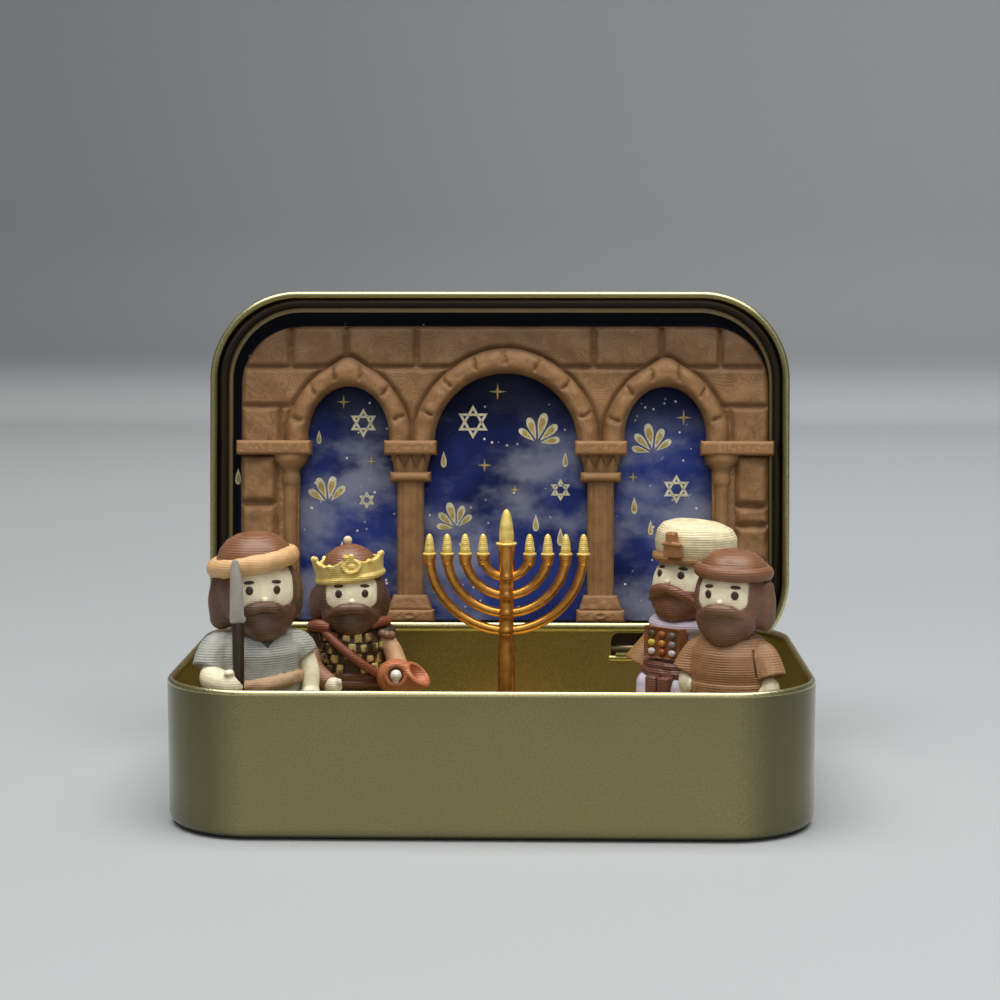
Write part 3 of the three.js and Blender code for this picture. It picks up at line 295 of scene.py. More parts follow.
def new_finish(name, roughness, metallic=0.0):
    material = bpy.data.materials.new(name)
    material.use_nodes = True
    tree = material.node_tree
    shader = tree.nodes["Principled BSDF"]
    shader.inputs["Roughness"].default_value = roughness
    shader.inputs["Metallic"].default_value = metallic
    coordinates = tree.nodes.new("ShaderNodeTexCoord")
    return material, Wire(tree, coordinates.outputs["Object"]), shader


def feed(shader, **wires):
    for key, wire in wires.items():
        wire.tree.links.new(wire.socket, shader.inputs[key.replace("_", " ")])


def raised(wire, height_mm, strength=1.0):
    return wire.node("ShaderNodeBump", {"Strength": strength, "Distance": height_mm / 1000, "Height": wire})


# %% Printed plastic
LAYER = 0.36


def printed(name, code, roughness, ridge, dark):
    material, place, shader = new_finish(name, roughness)
    wobble = place.grain(4.0, 2.0) * 0.7
    wave = (place.axis("Z") * (FULL_TURN * 1000 / LAYER) + wobble * FULL_TURN).sine()
    faint = place.grain(3.2, 2.0).band(0.35, 0.68) * 0.75 + 0.25
    groove = 1 - (1 - wave.band(-1.0, 0.2)) * faint
    mottle = place.grain(1.4, 4.0, 0.6)
    tone = mottle.band(0.3, 0.7).blend(colour(code, 0.88), colour(code, 1.12))
    feed(shader, Base_Color=groove.blend(colour(code, dark), tone), Roughness=mottle * 0.2 + (roughness - 0.1),
         Normal=raised(wave * faint + mottle * 0.8, ridge, 0.6))
    return material


# %% [markdown]
# ## The tray
# The tray is one pressed sheet: a flat floor, a small radius at the bottom, straight walls, and a rim rolled
# inwards so that no sharp edge shows. A hand would draw the wall's section once and sweep it round. Here the
# section is spun like a pot, and the pot is then pulled apart into a rounded rectangle, which keeps the corners
# perfectly round. Two windows in the back wall take the lid's tongues.

# %% Wall sections
TIN_WIDTH, TIN_DEPTH, TIN_HEIGHT, TIN_CORNER = 95.0, 60.5, 21.55, 13.5
SHEET = 0.4
HINGE = Vector((0, 30.05, 15.5))
LID_ANGLE = 96.25
CORNER_STEPS = 18


def arc(across, up, radius, start, end, steps):
    angles = [math.radians(start + (end - start) * i / steps) for i in range(steps + 1)]
    return [(across + radius * math.cos(a), up + radius * math.sin(a)) for a in angles]


def pressed(name, section, width, depth, corner):
    step = math.pi / 2 / CORNER_STEPS
    stretch = 1 / math.cos(step / 2)
    turn = Matrix.Rotation(step / 2, 3, "Z")
    points = [turn @ Vector(((corner - inset) * stretch, 0, z)) for inset, z in section]
    obj = drawn(name, points)
    edit(obj)
    whirl(4 * CORNER_STEPS)
    bpy.ops.mesh.select_all(action="SELECT")
    bpy.ops.mesh.remove_doubles(threshold=0.002)
    pull_x, pull_y = width / 2 - corner, depth / 2 - corner
    for test, move in ((lambda p: p.x > 0, (pull_x, 0, 0)), (lambda p: p.x < 0, (-pull_x, 0, 0)),
                       (lambda p: p.y > 0, (0, pull_y, 0)), (lambda p: p.y < 0, (0, -pull_y, 0))):
        pick(obj, points=test)
        bpy.ops.transform.translate(value=move)
    close_up()
    return obj


def block(name, low, high, bevel=0.0, steps=3):
    middle = [(a + b) / 2 for a, b in zip(low, high)]
    size = [b - a for a, b in zip(low, high)]
    let_go()
    bpy.ops.mesh.primitive_cube_add(size=1, location=middle, scale=size)
    obj = added(name)
    if bevel:
        edit(obj)
        bpy.ops.mesh.bevel(offset=bevel, segments=steps, affect="EDGES")
        done()
    return obj


# %% Tin finish
CORNER_SHADE_X, CORNER_SHADE_Y = (0.034 ** 2, 0.041 ** 2), (0.017 ** 2, 0.024 ** 2)


def tin_lacquer(name, light, dark, polish=0.22, corner_shade_and_patina=False):
    material, place, shader = new_finish(name, 0.36, 0.9)
    shader.inputs["Coat Weight"].default_value = 0.6
    shader.inputs["Coat Roughness"].default_value = 0.16
    speckle = place.grain(0.28, 3.0, 0.7)
    cloud = place.grain(14.0, 2.0)
    warm = cloud.band(0.35, 0.65).blend(colour(light, 0.95), colour(light, 1.05))
    lacquer = speckle.band(0.3, 0.72).blend(dark, warm)
    # Painted shade: the rounded corners are darkened to stand in for the darker reflection they catch, with a little
    # of the tin's own antique darkening there.
    if corner_shade_and_patina:
        x, y = place.axis("X"), place.axis("Y")
        corner = (x * x).band(*CORNER_SHADE_X) * (y * y).band(*CORNER_SHADE_Y)
        lacquer = (corner * 0.72).blend(lacquer, colour(dark, 0.42))
    feed(shader, Base_Color=lacquer, Roughness=speckle * 0.2 + polish, Normal=raised(speckle, 0.012, 0.4))
    return material


tray_tin = tin_lacquer("tray_tin", "#90895b", "#7d764a", corner_shade_and_patina=True)
olive_tin = tin_lacquer("olive_tin", "#949060", "#827c50")
# Painted highlight: the rolled rims get a lighter, glossier lacquer so that their highlight reads wide and bright.
painted_highlight_rim = tin_lacquer("painted_highlight_rim", "#cfc692", "#bdb47f", 0.19)
bead_tin = tin_lacquer("bead_tin", "#8f7c55", "#7f6c47")
inner_tin = tin_lacquer("inner_tin", "#bcad6c", "#a69758")
# Painted shade: the lid's inner walls and gutter are lacquered near-black to stand in for the shade in that recess.
painted_shade_lining = tin_lacquer("painted_shade_lining", "#362c14", "#2c230e")

# %% Tray shell
EDGE = 1.7
ROLL, ROLL_SQUEEZE = 0.7, 0.7
roll_at = TIN_HEIGHT - ROLL
tray_section = [
    *arc(EDGE, EDGE, EDGE, 270, 180, 7),
    *[(inset * ROLL_SQUEEZE, z) for inset, z in arc(ROLL, roll_at, ROLL, 180, -50, 14)],
    (SHEET + 0.05, roll_at - 1.2 * ROLL),
    (SHEET, roll_at - 2 * ROLL),
    *arc(EDGE + 0.1, EDGE + 0.1, EDGE - SHEET + 0.1, 180, 270, 6),
]
tray = pressed("tray_shell", tray_section, TIN_WIDTH, TIN_DEPTH, TIN_CORNER)
WINDOW_AT, WINDOW_WIDTH, WINDOW_HIGH, WINDOW_ROUND = 24.7, 11.6, 19.8, 1.4
BAR_RADIUS = 0.5
for side in (-1, 1):
    middle = side * WINDOW_AT
    window = block("window", (middle - WINDOW_WIDTH / 2, 28, HINGE.z),
                   (middle + WINDOW_WIDTH / 2, 32, WINDOW_HIGH))
    pick(window, edges=lambda a, b: abs(a.y - b.y) > 1 and a.z > 18)
    bpy.ops.mesh.bevel(offset=WINDOW_ROUND, segments=6, affect="EDGES")
    done()
    carve(tray, window)
bars = []
for side in (-1, 1):
    let_go()
    bpy.ops.mesh.primitive_cylinder_add(vertices=24, radius=BAR_RADIUS, depth=WINDOW_WIDTH + 0.6,
                                        location=(side * WINDOW_AT, HINGE.y, HINGE.z),
                                        rotation=(0, math.pi / 2, 0))
    bars.append(added("bar"))
tray = joined("tray_shell", [tray, *bars])
settle(tray, "tray", tray_tin, "tin", ["tin_base"], smooth=35,
       coats=((painted_highlight_rim, lambda c, n: c.z > roll_at - 0.05),
              (inner_tin, lambda c, n: c.z < roll_at - ROLL and (n.z > 0.3 or n.x * c.x + n.y * c.y < -2))))

# %% [markdown]
# ## The lid
# The lid is pressed the same way, a little larger, with its rim rolled inwards and a bead stiffening the panel.
# It is drawn shut, as it would sit on the tray, and then swung open about the hinge. Two tongues at its back edge
# curl round the bars of the tray's windows.

# %% Lid shell
LID_WIDTH, LID_DEPTH, LID_CORNER = 97.8, 63.3, 14.9
LID_TOP, PLATE, HEM = 22.8, 22.4, 16.0
LID_EDGE, HEM_ROLL, BEAD_AT, BEAD, BEAD_RISE = 1.8, 0.6, 2.65, 0.62, 0.5
OPEN = moved(*HINGE) @ turned(-LID_ANGLE, "X") @ moved(*-HINGE)
lid_section = [
    *arc(LID_EDGE, LID_TOP - LID_EDGE, LID_EDGE, 90, 180, 7),
    *arc(HEM_ROLL, HEM + HEM_ROLL, HEM_ROLL, 180, 410, 14),
    (SHEET + 0.05, HEM + 1.45),
    (SHEET, HEM + 1.9),
    *arc(SHEET + 1.2, PLATE - 1.2, 1.2, 180, 90, 6),
    *[(BEAD_AT - BEAD * math.cos(math.pi * i / 12), PLATE - BEAD_RISE * math.sin(math.pi * i / 12) ** 0.45)
      for i in range(13)],
    (BEAD_AT + BEAD + 0.5, PLATE),
]
lid = pressed("lid_shell", lid_section, LID_WIDTH, LID_DEPTH, LID_CORNER)
TONGUE, CURL_OUT, CURL_IN = WINDOW_WIDTH - 1.6, 1.08, 0.68
CURL = arc(HINGE.y, HINGE.z, CURL_OUT, 42, 228, 20) + arc(HINGE.y, HINGE.z, CURL_IN, 228, 42, 20)
tongues = []
for side in (-1, 1):
    left = side * WINDOW_AT - TONGUE / 2
    curl = slab("curl", [(left, y, z) for y, z in CURL], (TONGUE, 0, 0))
    neck = block("neck", (left, HINGE.y + 0.5, HINGE.z + CURL_IN),
                 (left + TONGUE, HINGE.y + 1.45, HINGE.z + CURL_OUT))
    tongues += [curl, neck]
lid = joined("lid_shell", [lid, *tongues])


def lid_inset(point):
    beyond_x = max(0.0, abs(point.x) - LID_WIDTH / 2 + LID_CORNER)
    beyond_y = max(0.0, abs(point.y) - LID_DEPTH / 2 + LID_CORNER)
    return LID_CORNER - math.hypot(beyond_x, beyond_y)


settle(lid, "lid", olive_tin, "tin", ["tin_lid"], OPEN, smooth=35,
       coats=((painted_highlight_rim, lambda c, n: c.z < HEM + 2 * HEM_ROLL and lid_inset(c) < HEM_ROLL),
              (bead_tin, lambda c, n: PLATE - 0.7 < c.z < PLATE + 0.01 and abs(lid_inset(c) - BEAD_AT) < BEAD),
              (painted_shade_lining, lambda c, n: c.z > HEM + 1.3 and (n.z < -0.3 or n.x * c.x + n.y * c.y < -2))))

# %% [markdown]
# ## The night card
# A printed card lines the lid: deep blue with watery clouds and tiny stars. It is die-cut to fit just inside the
# bead. The gilt shapes on it are cut as paper-thin foil, because a crisp outline is easier to keep in a mesh than
# in a chain of shader sums.

# %% Card print
DUSK_AND_SHADE = (49.0, 60.0)
MARGIN_SIDE, MARGIN_TOP, MARGIN_BAND = 34.6, 60.8, (9.7 ** 2, 11.1 ** 2)


def night_sky():
    material, place, shader = new_finish("night_card", 0.62)
    shader.inputs["Specular IOR Level"].default_value = 0.12
    drift = place.node("ShaderNodeMapping", {"Vector": place, "Scale": (0.75, 1.0, 1.15)})
    cloud = drift.grain(13.0, 5.0, 0.52)
    wisp = drift.grain(4.0, 4.0, 0.55)
    deep = place.grain(16.0, 3.0).band(0.35, 0.65).blend("#131c4c", "#2a3a80")
    veil = (cloud + wisp * 0.3 - 0.15).band(0.41, 0.66)
    height = place.axis("Z") * 1006
    # Darker towards the top: partly the print's dusk, partly painted shade under the lid's rim; the clouds fade there
    # too.
    dusk_and_shade = height.band(*DUSK_AND_SHADE)
    sky = (veil * (0.7 - dusk_and_shade * 0.5)).blend(deep, "#9397a8")
    sky = (dusk_and_shade * 0.84).blend(sky, "#0b0e22")
    # Painted shade: the card's top and side edges turn near-black, as under the lid's wall, and the stars are hidden
    # there.
    across = place.axis("X") * 1000 - 0.8
    sideways, upwards = across.sum("ABSOLUTE", across) - MARGIN_SIDE, height - MARGIN_TOP
    sideways, upwards = sideways.sum("MAXIMUM", sideways, 0.0), upwards.sum("MAXIMUM", upwards, 0.0)
    painted_edge_shade = (sideways * sideways + upwards * upwards).band(*MARGIN_BAND)
    shaded_sky = (painted_edge_shade * 0.97).blend(sky, "#010207")
    dots = place.node("ShaderNodeTexVoronoi", {"Vector": place, "Scale": 620.0}, feature="F1")
    spark = 1 - dots.band(0.08, 0.17)
    chosen = place.grain(3.4).band(0.5, 0.57)
    feed(shader, Base_Color=(spark * chosen * (1 - painted_edge_shade)).blend(shaded_sky, "#e9e6da"),
         Roughness=cloud * 0.2 + 0.5)
    return material


CARD_INSET, CARD_TRIM, CARD_FRONT, CARD_BACK = 3.2, 4.35, 21.95, 22.36
card = pressed("night_card", [(0.04, CARD_BACK), (0, CARD_BACK - 0.04), (0, CARD_FRONT + 0.04), (0.04, CARD_FRONT)],
               LID_WIDTH - 2 * CARD_INSET, LID_DEPTH - 2 * CARD_INSET - CARD_TRIM, LID_CORNER - CARD_INSET)
put(card, moved(0, -CARD_TRIM / 2, 0))
settle(card, "lid", night_sky(), "card", ["sky_card"], OPEN, smooth=30)

# %% Tape finish
tape, tape_place, tape_shader = new_finish("pad_tape", 0.85)
fibre = tape_place.grain(0.5, 3.0)
feed(tape_shader, Base_Color=fibre.blend("#c9c3b2", "#e4e0d4"), Normal=raised(fibre, 0.05))
for number in range(1, 5):
    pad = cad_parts[f"panel_pad_{number}"]
    pad.data.materials.clear()
    pad.data.materials.append(tape)

# %% Foil shapes
PANEL = OPEN @ moved(0.8, 0, 21.35) @ turned(180, "X")
CARD_FACE = -0.6
FOIL = 0.05
HEART, HEART_LIFT = 0.62, FOIL * 0.8


def foil(name, outline, at, lift=0.0):
    return slab(name, [(at[0] + x, at[1] + h, CARD_FACE + lift) for x, h in outline], (0, 0, FOIL))


def six_point_star(at, radius, stroke):
    bands = []
    for turn in (math.pi / 2, -math.pi / 2):
        corners = [(radius * math.cos(turn + FULL_TURN * i / 3), radius * math.sin(turn + FULL_TURN * i / 3))
                   for i in range(3)]
        triangle = drawn("star", [(at[0] + x, at[1] + h, CARD_FACE) for x, h in corners], closed=True)
        edit(triangle)
        bpy.ops.mesh.edge_face_add()
        bpy.ops.mesh.inset(thickness=stroke)
        bpy.ops.mesh.delete(type="FACE")
        bpy.ops.mesh.select_all(action="SELECT")
        pull((0, 0, FOIL))
        done()
        bands.append(outward(triangle))
    return bands


def oil_drop(size):
    points = []
    for i in range(28):
        a = FULL_TURN * i / 28
        points.append((size * 0.5 * math.sin(a) * math.sin(a / 2) ** 1.5, size * math.cos(a)))
    return points


def sparkle(long, short):
    reaches = [short if i % 2 else long for i in range(8)]
    return [(reach * math.sin(FULL_TURN * i / 8), reach * math.cos(FULL_TURN * i / 8))
            for i, reach in enumerate(reaches)]


STARS = ((-5.4, 9.8, 2.9, 0.42), (9.6, -1.8, 1.9, 0.34), (-24.2, 9.6, 2.5, 0.4), (29.4, -1.6, 2.5, 0.4),
         (-23.6, -3.6, 1.5, 0.28))
FANS = ((5.6, 6.2, 2.3, -0.25, 5), (-8.2, -8.4, 2.0, 0.3, 5), (-30.2, -4.2, 2.2, 0.1, 4), (25.4, 4.6, 2.2, 0.2, 5))
DROPS = ((-10.4, 3.4, 1.4), (10.4, 3.4, 1.3), (-31.8, 7.2, 1.2), (22.2, -4.4, 1.5), (25.0, -8.2, 1.3),
         (5.4, -7.4, 1.5), (9.6, -9.8, 1.6), (-45.7, 0.4, 1.4), (-45.7, -11.0, 1.4), (-27.8, -12.0, 1.5))
SPARKLES = ((-1.2, 15.0, 1.5), (-3.4, 2.4, 1.2), (-27.6, 13.2, 1.2), (30.6, 10.6, 1.4), (1.8, -1.8, 0.9),
            (22.0, 0.4, 0.9), (-22.8, 3.0, 0.9))


def fan_petals(at, size, turn, count):
    for i in range(count):
        step = i - (count - 1) / 2
        lean, half = turn - 0.58 * step, size * (1 - 0.13 * abs(step))
        for scale, lift in ((1.0, 0.0), (HEART, HEART_LIFT)):
            outline = []
            for x, h in oil_drop(half * scale):
                out = half * 1.3 - h
                outline.append((x * math.cos(lean) - out * math.sin(lean), x * math.sin(lean) + out * math.cos(lean)))
            yield foil("petal", outline, at, lift)


cream_foil = []
gold_foil = []
for x, h, radius, stroke in STARS:
    cream_foil += six_point_star((x, h), radius, stroke)
for x, h, size, turn, count in FANS:
    petals = list(fan_petals((x, h), size, turn, count))
    cream_foil += petals[0::2]
    gold_foil += petals[1::2]
for x, h, size in DROPS:
    cream_foil.append(foil("drop", oil_drop(size), (x, h)))
    gold_foil.append(foil("heart", oil_drop(size * HEART), (x, h - size * 0.12), HEART_LIFT))
for x, h, size in SPARKLES:
    gold_foil.append(foil("sparkle", sparkle(size, size * 0.2), (x, h)))


def gilt(name, light, dark):
    material, place, shader = new_finish(name, 0.5, 0.1)
    worn = place.grain(0.8, 4.0, 0.6)
    feed(shader, Base_Color=worn.band(0.35, 0.65).blend(dark, light),
         Roughness=worn * 0.3 + 0.35)
    return material


for name, pieces, light, dark in (("cream_foil", cream_foil, "#e2dcc0", "#c6bd9a"),
                                  ("gold_foil", gold_foil, "#c3ad6a", "#a38a47")):
    settle(joined(f"card_{name}", pieces), "lid", gilt(name, light, dark), "card", (), PANEL, smooth=10)

# %% [markdown]
# ## The arcade
# The arcade is one flat print glued on pads: courses of pillowed stone, three arch rings of rough stones, columns
# with leafy capitals, and jambs at both ends. It was printed lying on its back, so each layer draws a contour on
# its bulges, like a map. A grid is therefore spread to each outline, thickened, and its face raised by a small
# formula, and the finish draws its lines at equal depths.

# %% Carving tool
def ease(t):
    t = min(1.0, max(0.0, t))
    return t * t * (3 - 2 * t)


def rough(x, h, size, seed):
    return noise.noise(Vector((x / size, h / size, seed)))


def rounded(distance, radius):
    inside = min(1.0, max(0.0, distance / radius))
    return radius * (math.sqrt(1 - (1 - inside) ** 2) - 1)


def carved(name, columns, rows, spread, depth, keep=None):
    let_go()
    bpy.ops.mesh.primitive_grid_add(x_subdivisions=columns, y_subdivisions=rows, size=1)
    obj = added(name)
    for vertex in obj.data.vertices:
        x, h = spread(vertex.co.x + 0.5, vertex.co.y + 0.5)
        vertex.co = (x, h, 0)
    if keep:
        pick(obj, faces=lambda centre, normal: not keep(centre.x, centre.y))
        bpy.ops.mesh.delete(type="FACE")
        done()
    edit(obj)
    pull((0, 0, 1))
    done()
    for vertex in obj.data.vertices:
        if vertex.co.z > 0.5:
            vertex.co.z = depth(vertex.co.x, vertex.co.y)
    return outward(obj, 0.0005)


# %% Arcade finish
PANEL_FACE, CONTOUR = 34.03, 0.045


def brown_stone():
    material, place, shader = new_finish("arcade_print", 0.5)
    flat = place.node("ShaderNodeMapping", {"Vector": place, "Rotation": (math.radians(LID_ANGLE), 0, 0)})
    depth = PANEL_FACE - flat.axis("Z") * 1000
    level = depth * (1 / CONTOUR)
    wobble = place.grain(2.5, 2.0) * 0.6
    wave = ((level + wobble) * FULL_TURN).sine()
    line = wave.band(-1.0, -0.1)
    mottle = place.grain(2.2, 5.0, 0.6)
    tone = mottle.band(0.3, 0.7).blend("#835e39", "#9c7447")
    # Painted light: the proud parts, 2.6 to 4.2 mm deep, are lightened.
    tone = (depth.band(2.6, 4.2) * 0.5).blend(tone, "#b98a55")
    # Painted shade: the top of the wall, above 59 mm, is darkened as under the lid's rim; the proud rings and columns
    # are left out.
    painted_top_shade = (place.axis("Z") * 1000).band(59.0, 68.0) * (1 - depth.band(2.4, 3.0))
    tone = (painted_top_shade * 0.6).blend(tone, "#5a3d22")
    feed(shader, Base_Color=(line * 0.34 + 0.66).blend("#57391f", tone),
         Roughness=mottle * 0.2 + 0.4, Normal=raised(wave * 0.6 + mottle, 0.03, 0.5))
    return material


arcade_print = brown_stone()

# %% Wall courses
# An arch is its middle, radius, crown height and stretch, its joints in degrees, and its ring's widths.
SIDE_ARCH = (6.95, 15.8, 1.25, (15, 45, 75, 105, 135, 165), (3.95, 3.05, 0.14))
MIDDLE_ARCH = (12.2, 18.05, 1.0, (21, 45, 69, 91, 111, 135, 159), (4.25, 3.65, 0.3))
ARCHES = ((-26.55, *SIDE_ARCH), (0.25, *MIDDLE_ARCH), (27.4, *SIDE_ARCH))
RING_FOOT, RING_LAP = 3.75, 1.4
PANEL_HALF, PANEL_TOP, PANEL_LOW, PANEL_ROUND = 44.8, 26.0, -23.6, 10.2
IMPOST_LOW, IMPOST_HIGH = 4.1, 6.5
IMPOST = (IMPOST_LOW, IMPOST_HIGH, 4.3, 0.55)
COURSES, LOW_COURSE_FROM = (19.0, 12.4), 33
TOP_JOINTS = (-36.4, -26.9, -15.0, 15.2, 26.7, 36.6)
LOW_JOINTS = (-38.2, 38.4)
WALL_BASE, WALL_SWELL = 1.6, 0.8


def wall_limit(h):
    rise = max(0.0, h - (PANEL_TOP - PANEL_ROUND))
    return PANEL_HALF - PANEL_ROUND + math.sqrt(max(0.0, PANEL_ROUND ** 2 - rise ** 2))


def wall_spread(u, v):
    h = IMPOST_LOW + 1 + v * (PANEL_TOP - IMPOST_LOW - 1)
    return (2 * u - 1) * wall_limit(h), h


def ring_width(angle, widths):
    crown, shoulder, peak = widths
    side = min(1.0, abs(1 - angle / (math.pi / 2)))
    rise = (crown - shoulder) * math.exp(-(side / peak) ** 2)
    return shoulder + rise + (RING_FOOT - shoulder) * ease((side - 0.5) / 0.5)


def from_arch(x, h, arch):
    middle, radius, crown, stretch = arch[:4]
    across, up = x - middle, max(0.0, h - crown + radius * stretch) / stretch
    return math.hypot(across, up) - radius, math.atan2(up, across)


def off_rings(x, h):
    gaps = []
    for arch in ARCHES:
        distance, angle = from_arch(x, h, arch)
        gaps.append(distance - ring_width(angle, arch[-1]))
    return min(gaps)


def wall_depth(x, h):
    gaps = [abs(h - COURSES[0])]
    if abs(x) > LOW_COURSE_FROM:
        gaps.append(abs(h - COURSES[1]))
    if h > COURSES[0]:
        gaps += [abs(x - joint) for joint in TOP_JOINTS]
    if h < COURSES[1]:
        gaps += [abs(x - joint) for joint in LOW_JOINTS]
    gap = max(0.0, min(*gaps, wall_limit(h) - abs(x) + 0.1, PANEL_TOP - h + 0.1, off_rings(x, h)))
    pillow = 1 - math.exp(-((gap + 0.08 * rough(x, h, 1.5, 5)) / 0.42) ** 2)
    return WALL_BASE + WALL_SWELL * pillow + 0.42 * rough(x, h, 6.5, 1) + 0.1 * rough(x, h, 2.2, 2)


def outside_arches(x, h):
    return all(from_arch(x, h, arch)[0] >= RING_LAP for arch in ARCHES)


wall = carved("wall", 300, 76, wall_spread, wall_depth, outside_arches)


# %% Arch rings
RING_BASE, RING_SWELL, JOINT_CUT, JOINT_HALF = 1.9, 1.4, 0.55, 0.3


def arch_ring(middle, radius, crown, stretch, joint_angles, widths, seed):
    spring = crown - radius * stretch
    low = min(spring, IMPOST_HIGH - 0.6)
    straight = spring - low
    centre_line = radius + RING_FOOT / 2
    length = 2 * straight + math.pi * centre_line
    joints = [straight + centre_line * math.radians(angle + 3 * rough(angle, seed, 7, 3))
              for angle in joint_angles]

    def spread(u, v):
        along = v * length
        if along < straight:
            return middle + radius + RING_FOOT * (1 - u), low + along
        if along > length - straight:
            return middle - radius - RING_FOOT * (1 - u), low + length - along
        a = (along - straight) / centre_line
        r = radius + ring_width(a, widths) * (1 - u)
        return middle + r * math.cos(a), spring + stretch * r * math.sin(a)

    def depth(x, h):
        across = x - middle
        if h <= spring:
            t = (abs(across) - radius) / RING_FOOT
            along = h - low if across > 0 else length - (h - low)
        else:
            up = (h - spring) / stretch
            a = math.atan2(up, across)
            t = (math.hypot(across, up) - radius) / ring_width(a, widths)
            along = straight + a * centre_line
        cut = 0.0
        reach = ease((t - 0.22) / 0.2) * ease((1.02 - t) / 0.2)
        for joint in joints:
            near = along - joint + 0.35 * rough(x, h, 1.6, seed)
            cut = max(cut, math.exp(-(near / JOINT_HALF) ** 2) * reach)
        swell = max(0.0, 1 - abs(2 * t - 1) ** 3.4)
        grit = 0.2 * rough(x, h, 1.9, seed)
        return RING_BASE + RING_SWELL * swell - JOINT_CUT * cut + grit + 0.06 * rough(x, h, 0.7, seed)

    return carved("ring", 22, int(length * 4), spread, depth)


rings = [arch_ring(*arch, seed=3 + i) for i, arch in enumerate(ARCHES)]


# %% Imposts, columns and jambs
NECK_LOW, NECK_HIGH, FOOT_LOW, FOOT_HIGH, PLINTH_LOW, KNOT_AT = -0.5, 1.2, -22.2, -19.7, PANEL_LOW - 0.6, -23.1
IMPOST_HALF, NECK_HALF, SHAFT_HALF, PLINTH_HALF = 4.4, 3.45, 2.25, 4.1


def bar(x0, x1, h0, h1, depth, radius):
    def face(x, h):
        edge = min(x - x0, x1 - x, h - h0, h1 - h)
        return depth + rounded(edge, radius) + 0.03 * rough(x, h, 0.8, 4)

    return carved("bar", max(8, int((x1 - x0) * 4)), max(8, int((h1 - h0) * 5)),
                  lambda u, v: (x0 + (x1 - x0) * u, h0 + (h1 - h0) * v), face)


def column(x):
    def flare(low, high, narrow, wide):
        return lambda u, v: (x + (u - 0.5) * (narrow + (wide - narrow) * v), low + (high - low) * v)

    def leaves(px, h):
        up = (h - NECK_HIGH) / 3.2
        across = (px - x) / (2.7 + 0.7 * up)
        tooth = abs(((across * 1.5 + 0.5) % 1) - 0.5) * 2
        edge = ease((up - 0.15 - 0.75 * (1 - tooth)) / 0.12 + 0.5)
        vein = 0.16 * math.cos(across * 1.5 * FULL_TURN)
        return 2.9 + 0.5 * up - 0.5 * edge + vein * (1 - edge) + rounded(1 - abs(across), 0.25)

    def shaft(px, h):
        across = (px - x) / SHAFT_HALF
        return 2.0 + 0.95 * math.sqrt(max(0.0, 1 - (0.93 * across) ** 2)) + 0.05 * math.cos(across * 5 * math.pi)

    def foot(px, h):
        up = (h - FOOT_LOW) / (FOOT_HIGH - FOOT_LOW)
        edge = min((3.7 - 0.8 * up) - abs(px - x), h - FOOT_LOW + 0.15, FOOT_HIGH + 0.15 - h)
        return 3.5 - 0.35 * up + rounded(edge, 0.55) + 0.08 * rough(px, h, 0.9, 6)

    def plinth(px, h):
        edge = min(PLINTH_HALF - abs(px - x), h - PLINTH_LOW + 0.1, FOOT_LOW + 0.1 - h)
        knot = math.hypot((px - x) / 1.3, (h - KNOT_AT) / 0.7)
        return 3.8 + rounded(edge, 0.6) + 0.16 * math.exp(-((knot - 0.7) / 0.22) ** 2) + 0.06 * rough(px, h, 0.9, 7)

    return [
        bar(x - IMPOST_HALF, x + IMPOST_HALF, *IMPOST),
        carved("capital", 48, 20, flare(NECK_HIGH - 0.1, IMPOST_LOW + 0.1, 5.4, 6.8), leaves),
        bar(x - NECK_HALF, x + NECK_HALF, NECK_LOW, NECK_HIGH, 3.75, 0.8),
        carved("shaft", 36, 60, flare(FOOT_HIGH - 0.2, NECK_LOW + 0.2, 2 * SHAFT_HALF, 2 * SHAFT_HALF), shaft),
        carved("foot", 36, 14, flare(FOOT_LOW - 0.1, FOOT_HIGH, 7.4, 5.8), foot),
        carved("plinth", 40, 12, flare(PLINTH_LOW, FOOT_LOW, 2 * PLINTH_HALF, 2 * PLINTH_HALF), plinth),
    ]


JAMB_TOP, JAMB_FOOT = 4.6, -18.6
JAMB_JOINTS = {-1: (-4.2, -10.6, -16.4), 1: (-4.5, -7.8, -14.0)}
JAMB_PLACES = {-1: (34.9, 36.3, 38.5), 1: (35.3, 36.85, 39.0)}
JAMB_IMPOSTS = {-1: (-45.4, -32.8), 1: (33.3, 45.6)}


